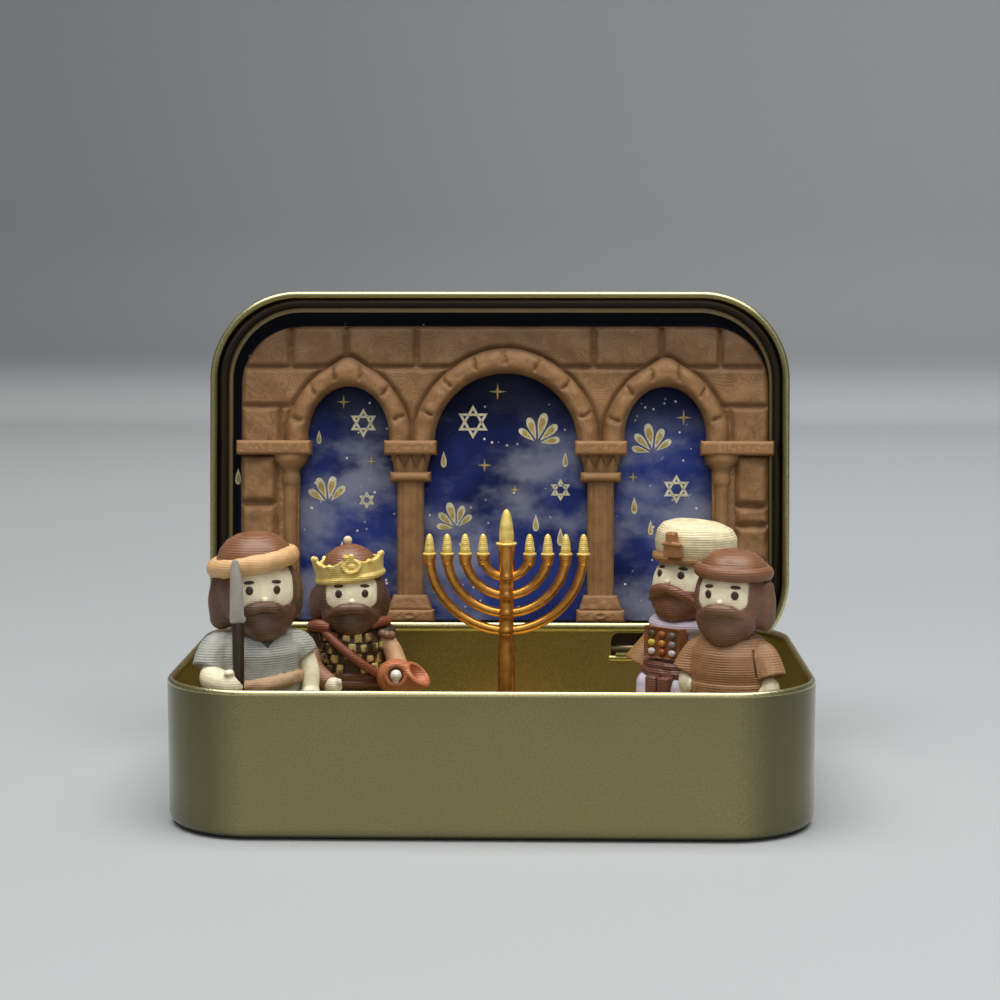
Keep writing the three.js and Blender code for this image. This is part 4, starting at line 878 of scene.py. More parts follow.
def jamb(side):
    inner, post_at, stone_at = JAMB_PLACES[side]

    def spread(u, v):
        h = PANEL_LOW + v * (JAMB_TOP - PANEL_LOW)
        outer = PANEL_HALF - max(0.0, JAMB_FOOT - h)
        return side * (inner + u * (outer - inner)), h

    def stones(x, h):
        out = abs(x)
        gaps = [abs(h - joint) for joint in JAMB_JOINTS[side]]
        gap = min(*gaps, out - stone_at, PANEL_HALF - out + 0.15, IMPOST_LOW - h + 0.2)
        if out < stone_at:
            return 2.1 + 0.06 * rough(x, h, 1.0, 8)
        pillow = 1 - math.exp(-((gap + 0.12 * rough(x, h, 1.4, 9)) / 0.6) ** 2)
        return 1.9 + 1.1 * pillow + 0.4 * rough(x, h, 3.2, 10 + side) + 0.1 * rough(x, h, 1.3, 11)

    def post_width(h):
        if h < -1.2:
            return 1.12
        if h < 1.0:
            return 1.5 - 0.3 * ((h + 0.1) / 1.1) ** 2
        return 1.25 + 1.65 * ease((h - 1.0) / 2.6)

    def post_spread(u, v):
        h = PANEL_LOW + v * (JAMB_TOP - PANEL_LOW)
        return side * post_at + (2 * u - 1) * post_width(h), h

    def post(x, h):
        across = (x - side * post_at) / post_width(h)
        return 2.2 + 0.62 * post_width(h) * math.sqrt(max(0.0, 1 - 0.96 * across * across))

    return [carved("jamb", 44, 120, spread, stones), carved("post", 16, 110, post_spread, post),
            bar(*JAMB_IMPOSTS[side], *IMPOST)]


columns = [*column(-15.9), *column(16.4)]
for name, pieces, nodes in (("wall", [wall, *jamb(-1), *jamb(1)], ["arcade_panel"]), ("rings", rings, ()),
                            ("columns", columns, ())):
    settle(joined(f"arcade_{name}", pieces), "lid", arcade_print, "arcade", nodes, PANEL, smooth=60)

# %% [markdown]
# ## The lamp
# The lamp is a gold print with nine lights. Each pair of arms is half a ring through the stem, so a torus is cut
# in half for it. The stem, the cups and the flames are round, and are spun from a section like pots on a wheel.

# %% Lamp pieces
def spun(name, section, steps=32, at=(0, 0, 0), flat=1.0):
    obj = drawn(name, [(r, 0, z) for r, z in section])
    edit(obj)
    whirl(steps)
    done()
    outward(obj)
    edit(obj)
    close_up()
    return put(obj, moved(*at) @ Matrix.Diagonal((1, flat, 1, 1)))


STANDING = 0.45
LAMP_PLACE = moved(2.0, -2.5, STANDING)
CUP_Z, MID_CUP_Z = 37.15, 38.75
ARMS = (3.55, 6.3, 9.05, 11.75)
ARM_Z, ARM_THICK, STEM_THICK, KNOB_THICK, KNOB_HALF = CUP_Z - 0.2, 0.74, 1.12, 1.34, 0.7
GOLD_LAYER = 0.3


def lamp_arm(radius):
    let_go()
    bpy.ops.mesh.primitive_torus_add(major_radius=radius, minor_radius=ARM_THICK, major_segments=112,
                                     minor_segments=18, location=(0, 0, ARM_Z), rotation=(math.pi / 2, 0, 0))
    arm = added("arm")
    edit(arm)
    bpy.ops.mesh.bisect(plane_co=(0, 0, ARM_Z), plane_no=(0, 0, 1), clear_outer=True, use_fill=True)
    done()
    return arm


def lamp_cup(x):
    section = [(0, -2.1), (0.6, -2.0), (0.86, -1.6), (0.78, -1.45), (0.9, -1.0), (1.0, -0.4), (0.9, -0.1), (0, -0.1)]
    return spun("cup", [(r, CUP_Z + z) for r, z in section], 20, (x, 0, 0))


def lamp_rim(x, z, radius):
    section = [(0, -0.36), (radius - 0.12, -0.36), (radius, -0.22), (radius, -0.1), (radius - 0.12, 0.02), (0, 0.02)]
    return spun("rim", [(r, z + up) for r, up in section], 24, (x, 0, 0))


def knob(z):
    swell = KNOB_THICK - STEM_THICK
    return [(STEM_THICK + swell * math.sin(math.pi * i / 6), z - KNOB_HALF + 2 * KNOB_HALF * i / 6) for i in range(7)]


stem_section = [(0, 0), (5.9, 0), (6.2, 0.3), (6.2, 0.7), (5.8, 1.0), (4.3, 1.7), (2.5, 3.1), (1.6, 5.6), (1.36, 9),
                (1.3, 22.5), (STEM_THICK, 23.2)]
for radius in reversed(ARMS):
    stem_section += knob(ARM_Z - radius)
stem_section += [(1.15, MID_CUP_Z - 3.4), (1.2, MID_CUP_Z - 2.0), (1.4, MID_CUP_Z - 0.5), (1.45, MID_CUP_Z - 0.3),
                 (1.3, MID_CUP_Z - 0.1), (0, MID_CUP_Z - 0.1)]
stem = spun("stem", stem_section, 40)
lamp_frame = joined("lamp_body", [stem, *map(lamp_arm, ARMS), *[lamp_cup(s * r) for r in ARMS for s in (-1, 1)]])


def gold(name, light, dark, roughness, ridge, metallic):
    material, place, shader = new_finish(name, roughness, metallic)
    wave = (place.axis("Z") * (FULL_TURN * 1000 / GOLD_LAYER)).sine()
    worn = place.grain(1.1, 4.0, 0.6)
    feed(shader, Base_Color=worn.band(0.3, 0.7).blend(dark, light),
         Roughness=worn * 0.2 + (roughness - 0.1), Normal=raised(wave * 0.6 + worn, ridge, 0.6))
    return material


lamp_gold = gold("lamp_gold", "#d99c49", "#c0833b", 0.3, 0.001, 0.88)
flame_gold = gold("flame_gold", "#f7e08c", "#e4c157", 0.45, 0.05, 0.2)
rims = [lamp_rim(s * r, CUP_Z, 1.06) for r in ARMS for s in (-1, 1)] + [lamp_rim(0, MID_CUP_Z, 1.62)]
settle(joined("lamp_rims", rims), "lamp", flame_gold, "flame", (), LAMP_PLACE, smooth=50)
settle(lamp_frame, "lamp", lamp_gold, "lamp_gold", ["lamp_frame"], LAMP_PLACE, smooth=50)

# %% Flames
FLAME = ((0.66, 0.0), (0.75, 0.25), (0.77, 0.55), (0.72, 0.85), (0.68, 0.95), (0.69, 1.2), (0.66, 1.5), (0.6, 1.75),
         (0.57, 1.85), (0.55, 2.1), (0.47, 2.4), (0.34, 2.68), (0.16, 2.86), (0, 2.92))
TALL_FLAME = ((0.95, 0.0), (1.1, 0.4), (1.14, 1.1), (1.08, 1.7), (1.05, 1.85), (1.06, 2.1), (0.98, 2.8), (0.92, 3.1),
              (0.88, 3.3), (0.74, 4.0), (0.52, 4.6), (0.26, 5.0), (0, 5.1))
spots = [-r for r in reversed(ARMS)] + [0] + list(ARMS)
for number, x in enumerate(spots, 1):
    section = TALL_FLAME if x == 0 else FLAME
    base = (MID_CUP_Z if x == 0 else CUP_Z) + 0.04
    flame = spun(f"flame_{number}", [(0, base), *[(r, base + z) for r, z in section]], 24, (x, 0, 0))
    settle(flame, "lamp", flame_gold, "flame", [f"lamp_flame_{number}"], LAMP_PLACE, smooth=50)

# %% [markdown]
# ## Tools for the figures
# The four figures are small coloured prints, each colour a separate piece: soft round heads, caps, simple clothes.
# A sculptor would press balls and rolls of clay together and smooth the joins. `melt` does that: it joins rough
# forms, skins them with one closed surface, and relaxes it. The print lines come from the finish.

# %% Figure tools
def ball(radii, at, tip=(0, 0, 0), detail=28):
    let_go()
    bpy.ops.mesh.primitive_uv_sphere_add(segments=detail, ring_count=detail // 2 + 2, radius=1, location=at,
                                         scale=(radii,) * 3 if isinstance(radii, float) else radii,
                                         rotation=[math.radians(a) for a in tip])
    return added("ball")


def ring(radius, thick, at, flat=1.0, tall=1.0, name="ring"):
    let_go()
    bpy.ops.mesh.primitive_torus_add(major_radius=radius, minor_radius=thick, major_segments=72, minor_segments=18)
    return put(added(name), moved(*at) @ Matrix.Diagonal((1, flat, tall, 1)))


TUBE_STEPS = 6


def tube(points, radii):
    points = [Vector(p) for p in points]
    dense, thick = [], []
    for i in range(len(points) - 1):
        before, after = points[max(0, i - 1)], points[min(len(points) - 1, i + 2)]
        leave, arrive = (points[i + 1] - before) / 2, (after - points[i]) / 2
        for k in range(TUBE_STEPS + (i == len(points) - 2)):
            t = k / TUBE_STEPS
            dense.append((2 * t ** 3 - 3 * t ** 2 + 1) * points[i] + (t ** 3 - 2 * t ** 2 + t) * leave
                         + (3 * t ** 2 - 2 * t ** 3) * points[i + 1] + (t ** 3 - t ** 2) * arrive)
            thick.append(radii[i] + (radii[i + 1] - radii[i]) * ease(t))
    path = drawn("tube", dense)
    bpy.ops.object.convert(target="CURVE")
    path.data.bevel_depth = 1
    path.data.bevel_resolution = 5
    path.data.use_fill_caps = True
    for knot in path.data.splines[0].points:
        nearest = min(range(len(dense)), key=lambda j: (dense[j] - knot.co.to_3d()).length)
        knot.radius = thick[nearest]
    bpy.ops.object.convert(target="MESH")
    return outward(path)


def melt(name, parts, size=0.22, relax=3):
    obj = joined(name, parts)
    add_modifier(obj, "REMESH", mode="VOXEL", voxel_size=size)
    return add_modifier(obj, "SMOOTH", factor=0.5, iterations=relax)


def shaggy(obj, amount, size):
    for vertex in obj.data.vertices:
        push = amount * noise.noise(vertex.co / size) + 0.5 * amount * noise.noise(vertex.co * 2.3 / size)
        vertex.co += vertex.normal * push
    return obj


def fluted(obj, count, depth):
    for vertex in obj.data.vertices:
        wave = 1 + depth * math.cos(count * math.atan2(vertex.co.y, vertex.co.x)) / 6
        vertex.co.x *= wave
        vertex.co.y *= wave
    return obj


# %% [markdown]
# The faces are plain toy faces: two dots, two short brows and a bump of a nose, set in a window in the hair. The
# window is cut with a rounded block and filled with a slice of a slightly smaller ball, so the hair stands proud.

# %% Faces
EYES_APART, FACE_SINK, LAP, CLEAR = 2.0, 0.3, 0.6, 20
NOSE = (0.5, 0.5, 0.45)


def face_point(centre, radii, x, z):
    rest = 1 - ((x - centre[0]) / radii[0]) ** 2 - ((z - centre[2]) / radii[2]) ** 2
    return Vector((x, centre[1] - radii[1] * math.sqrt(max(0.02, rest)), z))


def face_marks(name, centre, radii, level, gap=1.15):
    marks = []
    for side in (-1, 1):
        x = centre[0] + side * EYES_APART
        lean = math.degrees(math.asin(side * EYES_APART / radii[0]))
        marks.append(ball((0.56, 0.26, 0.64), face_point(centre, radii, x, level), (0, 0, lean), 20))
        marks.append(ball((0.78, 0.26, 0.27), face_point(centre, radii, x, level + gap), (0, side * 5, lean), 20))
    return joined(name, marks)


def whiskers(centre, radii, level, reach, drop, thick):
    half = []
    for side in (-1, 1):
        path = []
        for share, fall in ((0.0, 0.0), (0.45, 0.18), (1.0, 1.0)):
            point = face_point(centre, radii, centre[0] + side * reach * share, level - drop * fall)
            path.append(point + Vector((0, -0.25, 0)))
        half.append(tube(path, [thick, thick * 1.05, thick * 0.5]))
        half.append(ball(thick * 0.55, path[-1]))
    return half


# %% Figure finishes
# A print is its slot and colour, then its roughness, the height of its layer lines and how dark they are.
PRINTS = {
    "skin": ("skin", "#fbecc9", 0.5, 0.02, 0.94),
    "dark_hair": ("hair", "#674835", 0.4, 0.045, 0.62),
    "cap_brown": ("cap_brown", "#85593c", 0.4, 0.045, 0.68),
    "tan": ("tan", "#dcae78", 0.5, 0.025, 0.85),
    "grey_cloth": ("grey", "#b3b3aa", 0.48, 0.05, 0.62),
    "steel_grey": ("steel_grey", "#a09a8e", 0.35, 0.015, 0.9),
    "dark_wood": ("dark_wood", "#302110", 0.45, 0.015, 0.8),
    "mark_brown": ("hair", "#3f2c21", 0.5, 0.02, 0.85),
    "knob_cream": ("cap_brown", "#e6caa0", 0.45, 0.02, 0.9),
    "dark_leather": ("armour", "#4a3628", 0.5, 0.05, 0.7),
    "bead_brown": ("armour", "#8a6a4e", 0.45, 0.03, 0.8),
    "rust": ("rust", "#8e5036", 0.45, 0.04, 0.75),
    "clay": ("terracotta", "#be744b", 0.45, 0.04, 0.8),
    "red_beard": ("red_brown", "#845640", 0.33, 0.04, 0.68),
    "cloak_brown": ("cloak", "#a57848", 0.48, 0.045, 0.76),
    "crest_brown": ("plate", "#a9764a", 0.45, 0.04, 0.75),
    "lilac_cloth": ("lilac", "#d8cedd", 0.5, 0.05, 0.84),
    "board_brown": ("plate", "#8c5631", 0.42, 0.04, 0.75),
    "belt_red": ("red_brown", "#7b5040", 0.4, 0.05, 0.7),
    "elder_hair": ("hair", "#7b5740", 0.4, 0.05, 0.64),
    "brown_robe": ("robe", "#a67a53", 0.45, 0.045, 0.66),
    "fleece": ("tan", "#cba680", 0.6, 0.03, 0.8),
    "belt_brown": ("rust", "#6a3f2e", 0.45, 0.04, 0.75),
    "sleeve_tan": ("skin", "#a97c60", 0.5, 0.04, 0.8),
    "warm_skin": ("skin", "#c79a6d", 0.5, 0.02, 0.9),
    "white_print": ("skin", "#e4ded6", 0.45, 0.02, 0.92),
    "cream_cloth": ("cream", "#e6d7ae", 0.5, 0.045, 0.8),
}
finishes = {name: (printed(name, *look), slot) for name, (slot, *look) in PRINTS.items()}
finishes["priest_marks"] = (finishes["mark_brown"][0], "red_brown")
finishes["crown_gold"] = (gold("crown_gold", "#f6de8c", "#e2be60", 0.48, 0.05, 0.2), "crown_gold")
antique, antique_place, antique_shader = new_finish("antique_plates", 0.45, 0.3)
worn = antique_place.grain(2.0, 3.0).band(0.44, 0.58)
feed(antique_shader, Base_Color=worn.blend("#57402a", "#d2b974"))
finishes["antique_plates"] = (antique, "armour")
print("figure finishes:", len(finishes))

# %% [markdown]
# A figure remembers where it stands and which way it faces. Each piece is modelled facing forwards at the origin,
# and `wear` settles it there. Caps and a belt sit crooked, so they are modelled level and `leaned` as seen from the
# front.

# %% A figure
class Figure:
    def __init__(self, body, x, y, turn):
        self.body, self.turn = body, turn
        self.place = moved(x, y, STANDING) @ turned(turn, "Z")

    def wear(self, obj, look, *nodes, smooth=60):
        finish, slot = finishes[look]
        settle(obj, self.body, finish, slot, nodes, self.place, smooth)

    def leaned(self, obj, at, degrees):
        axis = turned(-self.turn, "Z") @ Vector((0, 1, 0))
        return put(obj, moved(*at) @ turned(degrees, axis) @ moved(*[-c for c in at]))

    def bearded_head(self, look, centre, radii, window, lobes, level, marks_at, parting=None):
        x0, x1, z0, z1 = window
        inner = [r - FACE_SINK for r in radii]
        hair = melt("hair", [ball(radii, centre, detail=40), *lobes])
        carve(hair, block("opening", (x0, -CLEAR, z0), (x1, -0.8, z1), 1.3, 5))
        hair = melt(f"{self.body}_hair_and_beard", [hair, *whiskers(centre, radii, level, 3.7, 1.6, 0.85)], 0.18, 2)
        face = ball(inner, centre, detail=56)
        carve(face, block("patch", (x0 - LAP, -CLEAR, z0 - LAP), (x1 + LAP, -0.3, z1 + LAP)), "INTERSECT")
        nose = ball(NOSE, face_point(centre, inner, (x0 + x1) / 2, level + 0.95))
        face = joined(f"{self.body}_face_plate", [face, nose])
        marks = face_marks(f"{self.body}_eyes_and_brows", centre, inner, marks_at)
        if parting:
            carve(hair, tube(*parting))
        self.wear(hair, look, f"{self.body}_hair")
        self.wear(face, "skin", f"{self.body}_face", smooth=50)
        self.wear(marks, "mark_brown")

    def pleated_skirt(self, look, section, folds, depth, at=(0, 0, 0), flat=1.0):
        skirt = spun(f"{self.body}_pleated_skirt", [(0, 0), *section, (0, section[-1][1])], 96, at, flat)
        self.wear(fluted(skirt, folds, depth), look, f"{self.body}_skirt", smooth=40)


# %% [markdown]
# ## The guard
# The guard stands front left: a felt cap with a fat rolled band, long hair, a grey tunic with a fleece belt, and a
# short spear held upright.

# %% Guard's head
guard = Figure("guard", -34.4, -16.0, 17)
lobes = [tube([(-5.0, 0.6, 35.5), (-5.3, 0.4, 32), (-5.2, 0.5, 29.6)], [1.5, 1.9, 1.75]),
         ball(1.75, (-5.2, 0.5, 29.4)), ball((1.5, 2.2, 3.7), (5.7, 1.6, 32.4)),
         ball((5.0, 3.4, 3.9), (0.3, -2.6, 30.4)), ball((3.3, 2.7, 3.0), (0.4, -3.6, 29.1))]
guard.bearded_head("dark_hair", (0, 0, 33.2), (6.3, 6.2, 6.6), (-4.4, 4.7, 31.7, 37.2), lobes, 31.8, 34.1)
BAND_AT = (-0.5, 0, 37.7)
band = shaggy(ring(5.65, 1.24, BAND_AT, 1.0, 1.08, "guard_rolled_band"), 0.14, 1.2)
guard.wear(guard.leaned(band, BAND_AT, -10), "tan", "guard_headband")
felt = spun("guard_felt_cap", [(0, 36.9), (5.4, 36.9), (5.7, 37.4), (5.6, 38.6), (5.0, 39.9), (3.9, 41.1),
                               (2.4, 41.8), (0.9, 42.0), (0, 42.02)], 48, (-0.2, 0, 0))
guard.wear(guard.leaned(felt, (-0.5, 0, 37.8), -4), "cap_brown", "guard_cap")

# %% Guard's clothes
GUARD_FLAT = 0.82
coat = spun("coat", [(0, 18.4), (6.2, 18.4), (6.35, 18.7), (6.4, 22), (6.5, 24.4), (5.2, 27), (2.4, 28.2), (0, 28.4)],
            48, flat=GUARD_FLAT)
sleeves = [tube([(-2.6, 0, 25.4), (-5.9, -0.4, 24.7), (-7.3, -1.4, 22.1)], [2.0, 2.75, 2.75]),
           tube([(2.6, 0, 25.4), (5.6, -0.3, 24.7), (6.9, -0.8, 23.2)], [2.0, 2.7, 2.3])]
tunic = melt("guard_tunic_and_sleeves", [coat, *sleeves], 0.2, 2)
notch = block("notch", (-0.8, -8, 25.2), (0.8, -3.4, 26.8))
carve(tunic, put(notch, moved(0.7, 0, 26.6) @ turned(45, "Y") @ moved(0, 0, -26)))
guard.wear(tunic, "grey_cloth", "guard_tunic", smooth=50)
BELT_AT = (0.1, 0, 20.0)
fleece = shaggy(ring(6.1, 0.95, BELT_AT, 0.86, 1.1, "guard_fleece_belt"), 0.26, 0.8)
guard.wear(guard.leaned(fleece, BELT_AT, -8), "fleece", "guard_belt")
guard.pleated_skirt("grey_cloth", [(5.7, 0), (6.0, 0.3), (6.2, 9), (6.3, 18.3), (6.1, 18.6)], 16, 0.12,
                    flat=GUARD_FLAT)

# %% Guard's arms and spear
left = [tube([(-6.4, -0.6, 23.0), (-7.1, -3.2, 21.1), (-5.2, -5.9, 20.6)], [1.3, 2.0, 1.95]),
        ball((1.85, 1.6, 1.9), (-4.8, -6.5, 20.5)), ball((0.8, 0.7, 0.6), (-5.3, -7.1, 22.5))]
right = [tube([(6.6, -0.4, 24.6), (7.5, -1.6, 21.4), (7.3, -2.8, 18.4)], [1.35, 1.4, 1.25]),
         ball((1.5, 1.5, 1.6), (7.3, -2.9, 18.0)), ball((0.6, 0.6, 0.9), (6.4, -3.9, 18.3))]
for word, forms in (("left", left), ("right", right)):
    guard.wear(melt(f"guard_{word}_arm", forms), "skin", f"guard_arm_{word}")
SPEAR = (-3.95, -6.9)
POLE = [(0, 0.1), (0.7, 0.1), (0.85, 0.3), (0.85, 29.5), (0.75, 29.8), (0, 29.8)]
guard.wear(spun("guard_spear_pole", POLE, 10, (*SPEAR, 0)), "dark_wood", "spear_shaft", smooth=40)
BLADE = [(-1.15, 0.15), (-0.5, 0.0), (0.7, 0.0), (1.15, 0.3), (1.15, 0.75), (0.85, 1.2), (0.82, 3.4), (0.6, 6.6),
         (0.25, 8.7), (0.0, 9.2), (-0.5, 9.2), (-0.8, 8.6), (-0.98, 6.8), (-1.1, 3.4), (-1.15, 1.2)]
BLADE_FOOT, BLADE_THICK = 29.7, 1.0
head = slab("guard_spear_head", [(SPEAR[0] + x, SPEAR[1] + BLADE_THICK / 2, BLADE_FOOT + z) for x, z in BLADE],
            (0, -BLADE_THICK, 0))
add_modifier(head, "BEVEL", width=0.18, segments=2, limit_method="ANGLE", angle_limit=math.radians(50))
guard.wear(head, "steel_grey", "spear_blade", smooth=35)

# %% [markdown]
# ## The king
# Behind the guard stands a king in a jewelled crown and an armour coat of small gold plates, with rust straps
# across it, pouring from a clay jug. The crown is a spun wall whose top edge is lifted into points.

# %% King's head
king = Figure("king", -22.0, -0.5, 7)
lobes = [ball((1.5, 1.9, 3.0), (-5.0, 0.2, 28.9)), ball((1.3, 1.9, 2.8), (4.8, 1.2, 29.0)),
         ball((4.6, 3.2, 3.6), (0, -2.3, 27.9)), ball((3.2, 2.6, 2.8), (0, -3.2, 26.9))]
king.bearded_head("dark_hair", (0, 0, 30.2), (5.6, 5.6, 5.9), (-3.9, 3.9, 29.1, 33.6), lobes, 29.1, 31.2)
CAP_AT, CAP_LEAN, CROWN_LEAN = (0, 0, 33), -4, -8
dome = spun("king_domed_cap", [(0, 32.7), (4.0, 32.7), (4.3, 33.5), (4.2, 35.2), (3.4, 36.9), (2.0, 37.8),
                               (0.8, 38.2), (0, 38.25)], 40)
king.wear(king.leaned(dome, CAP_AT, CAP_LEAN), "cap_brown", "king_cap")
knob_top = melt("king_cap_knob", [ball(0.68, (0, 0, 38.8)), ball((0.5, 0.5, 0.6), (0, 0, 38.2))], 0.12, 1)
king.wear(king.leaned(knob_top, CAP_AT, CAP_LEAN), "knob_cream")

# %% King's crown
CROWN_TIPS = [-math.pi / 2 + FULL_TURN * i / 5 for i in range(5)]
CROWN_RADIUS, CROWN_FOOT, CROWN_TALL = 4.8, 32.9, 4.1


def crown_top(angle):
    near = min(abs((angle - tip + math.pi) % FULL_TURN - math.pi) for tip in CROWN_TIPS)
    rise = 1.4 - 1.0 * max(0.0, math.sin(angle)) - 0.65 * max(0.0, math.cos(angle))
    return 2.7 + rise * max(0.0, 1 - near / (math.pi / 5)) ** 1.6


def crown_stud(radii, radius, angle, z):
    return ball(radii, (radius * math.cos(angle), radius * math.sin(angle), z), detail=16)


crown_wall = drawn("crown", [(CROWN_RADIUS, 0, i / 6) for i in range(7)])
edit(crown_wall)
whirl(120)
done()
outward(crown_wall)
for vertex in crown_wall.data.vertices:
    angle, up = math.atan2(vertex.co.y, vertex.co.x), vertex.co.z
    radius = CROWN_RADIUS + 0.55 * (up * crown_top(angle) / CROWN_TALL) ** 1.4
    vertex.co = (radius * math.cos(angle), radius * math.sin(angle), CROWN_FOOT + up * crown_top(angle))
add_modifier(crown_wall, "SOLIDIFY", thickness=0.7, offset=0.0)
crown_parts = [crown_wall, ring(4.9, 0.6, (0, 0, 33.3), 1.0, 0.95)]
for tip in CROWN_TIPS:
    for shift in (-0.09, 0.09):
        crown_parts.append(crown_stud((0.46, 0.46, 0.5), 5.35, tip + shift, 32.7 + crown_top(tip)))
    crown_parts.append(crown_stud((0.5, 0.5, 0.42), 5.2, tip + math.pi / 5, 35.6))
jewel = ring(1.22, 0.36, (0, 0, 0), 0.78)
crown_parts.append(put(jewel, moved(0.3, -5.4, 35.3) @ Matrix.Rotation(math.pi / 2 - 0.1, 4, "X")))
crown_parts.append(ball((0.72, 0.4, 0.5), (0.3, -5.3, 35.3), detail=18))
crown = melt("king_jewelled_crown", crown_parts, 0.13, 2)
king.wear(king.leaned(crown, CAP_AT, CROWN_LEAN), "crown_gold", "king_crown")

# %% King's armour
KING_FLAT = 0.85
coat = spun("coat", [(0, 15.7), (5.2, 15.7), (5.3, 16), (5.4, 20), (5.5, 23), (4.4, 25.6), (2.2, 26.6), (0, 26.7)],
            40, flat=KING_FLAT)
shoulders = [ball((2.3, 2.5, 2.4), (s * 4.8, 0, 23.8)) for s in (-1, 1)]
king.wear(melt("king_leather_coat", [coat, *shoulders]), "dark_leather", "king_armour")
PLATE_LOW, PLATE_ROW, PLATE_STEP = 19.5, 1.6, 19
plates = []
for row in range(4):
    for step in range(-4, 5):
        if (row * 5 + step * 3) % 7 == 0:
            continue
        a = math.radians(PLATE_STEP * (step + 0.5 * (row % 2)))
        radius = 5.5 - 0.2 * max(0, row - 2)
        tall = 0.66 + 0.16 * math.sin(3.7 * step + row)
        plate = block("plate", (-0.58, -0.36, -tall), (0.58, 0.3, tall), 0.16, 2)
        seat = moved(radius * math.sin(a), -radius * 0.86 * math.cos(a), PLATE_LOW + PLATE_ROW * row)
        tilt = Matrix.Rotation(0.12 * math.sin(5 * step), 4, "Y")
        plates.append(put(plate, seat @ Matrix.Rotation(a, 4, "Z") @ tilt))
king.wear(joined("king_gold_plates", plates), "antique_plates", smooth=45)
beads = [ball((0.72, 0.72, 0.66), (5.3 + 0.85 * math.cos(a), -2.0 + 0.85 * math.sin(a), 24.5 - 0.25 * math.cos(a)),
              detail=16) for a in (0.3, 1.4, 2.6, 3.7, 4.8, 5.7)]
king.wear(melt("king_shoulder_beads", beads, 0.14, 1), "bead_brown")

# %% King's straps and belt
strap = tube([(-4.2, -3.1, 25.3), (-2.2, -5.0, 23.5), (0.8, -5.6, 21.0), (4.0, -4.4, 18.6)], [0.66, 0.68, 0.68, 0.6])
strap = melt("king_chest_strap", [strap, ball(0.66, (-4.2, -3.1, 25.3))], 0.16, 2)
king.wear(strap, "rust", "king_sash")
collar = [tube([(-6.2, -0.8, 25.6), (-4.9, -2.6, 26.0), (-3.2, -3.6, 25.8)], [0.85, 1.0, 0.9]),
          tube([(2.8, -3.4, 26.1), (4.2, -2.4, 26.5), (5.6, -0.8, 26.3)], [0.75, 0.85, 0.8])]
king.wear(melt("king_collar_straps", collar, 0.16, 2), "rust")
belts = melt("king_double_belt", [ring(5.1, 0.72, (0, 0, 17.2), 0.87), ring(5.2, 0.6, (0, 0, 18.4), 0.87)], 0.16, 2)
king.wear(belts, "belt_brown", "king_belt")
king.pleated_skirt("dark_leather", [(4.9, 0), (5.2, 0.3), (5.3, 8), (5.2, 15.6), (5.0, 15.9)], 18, 0.14,
                   flat=KING_FLAT)

# %% King's arms and jug
hand = melt("king_left_hand", [ball((1.35, 1.3, 1.5), (-2.9, -6.2, 17.2)), ball((0.5, 0.5, 0.7), (-2.1, -7.0, 18.0))])
king.wear(hand, "skin", "king_arm_left")
left = tube([(-5.0, -0.8, 22.4), (-5.7, -2.8, 19.6), (-3.4, -5.4, 17.6)], [1.3, 1.45, 1.35])
king.wear(melt("king_left_sleeve", [left]), "sleeve_tan")
right = tube([(5.0, -1.2, 24.0), (6.4, -2.4, 21.6), (7.1, -3.8, 19.4)], [1.4, 1.5, 1.6])
king.wear(melt("king_right_arm", [right]), "warm_skin", "king_arm_right")
POUR = Vector((0.62, -0.36, 0.69))
KNOB_AT = (6.5, -7.4, 19.0)
mouth = moved(9.9, -5.9, 18.8) @ POUR.to_track_quat("Z", "Y").to_matrix().to_4x4()
neck = spun("neck", [(0, -3.6), (1.7, -3.6), (1.5, -2.2), (1.9, -1.0), (2.5, -0.2), (2.5, 0.2), (2.2, 0.3), (0, 0.3)])
throat = spun("throat", [(0, -2.4), (0.5, -2.2), (0.8, -1.2), (1.7, 0.0), (1.8, 0.8), (0, 0.8)], 24)
jug = melt("jug", [ball((3.0, 2.6, 2.8), (6.6, -4.9, 18.3)), put(neck, mouth)], 0.18, 2)
carve(jug, put(throat, mouth))
carve(jug, ball(1.4, (6.5, -7.6, 19.0)))
handle = put(ring(1.55, 0.4, (0, 0, 0)), moved(6.5, -7.1, 19.0) @ Matrix.Rotation(1.5, 4, "X"))
king.wear(melt("king_clay_jug", [jug, handle], 0.15, 2), "clay", "king_jug")
knob_white = melt("king_white_knob", [ball(0.88, KNOB_AT), ball(0.5, (6.5, -7.4, 18.1))], 0.14, 1)
king.wear(knob_white, "white_print")

# %% [markdown]
# ## The priest
# The priest stands on the right, turned towards the lamp, in a tall cream turban, a lilac robe under a brown cape,
# and a square breastplate with nine stones in rows of three.

# %% Priest's head
priest = Figure("priest", 30.6, -0.5, -40)
PRIEST_HEAD, PRIEST_SIZE = (-0.2, -0.9, 31.9), (5.9, 5.8, 6.2)
PRIEST_INNER = [r - FACE_SINK for r in PRIEST_SIZE]
beard = melt("beard", [ball(PRIEST_SIZE, PRIEST_HEAD, detail=40), ball((4.7, 3.4, 3.8), (-0.2, -3.4, 30.2)),
                       ball((3.4, 2.7, 2.9), (-0.2, -4.4, 29.2))])
carve(beard, block("opening", (-CLEAR, -CLEAR, 32.0), (CLEAR, 3.2, 41)))
moustache = whiskers(PRIEST_HEAD, PRIEST_SIZE, 32.3, 4.3, 2.3, 0.76)
priest.wear(melt("priest_beard_and_moustache", [beard, *moustache], 0.18, 2), "red_beard", "priest_beard")
face = ball(PRIEST_INNER, PRIEST_HEAD, detail=56)
nose = ball(NOSE, face_point(PRIEST_HEAD, PRIEST_INNER, -0.2, 33.2))
priest.wear(joined("priest_face_ball", [face, nose]), "skin", "priest_face")
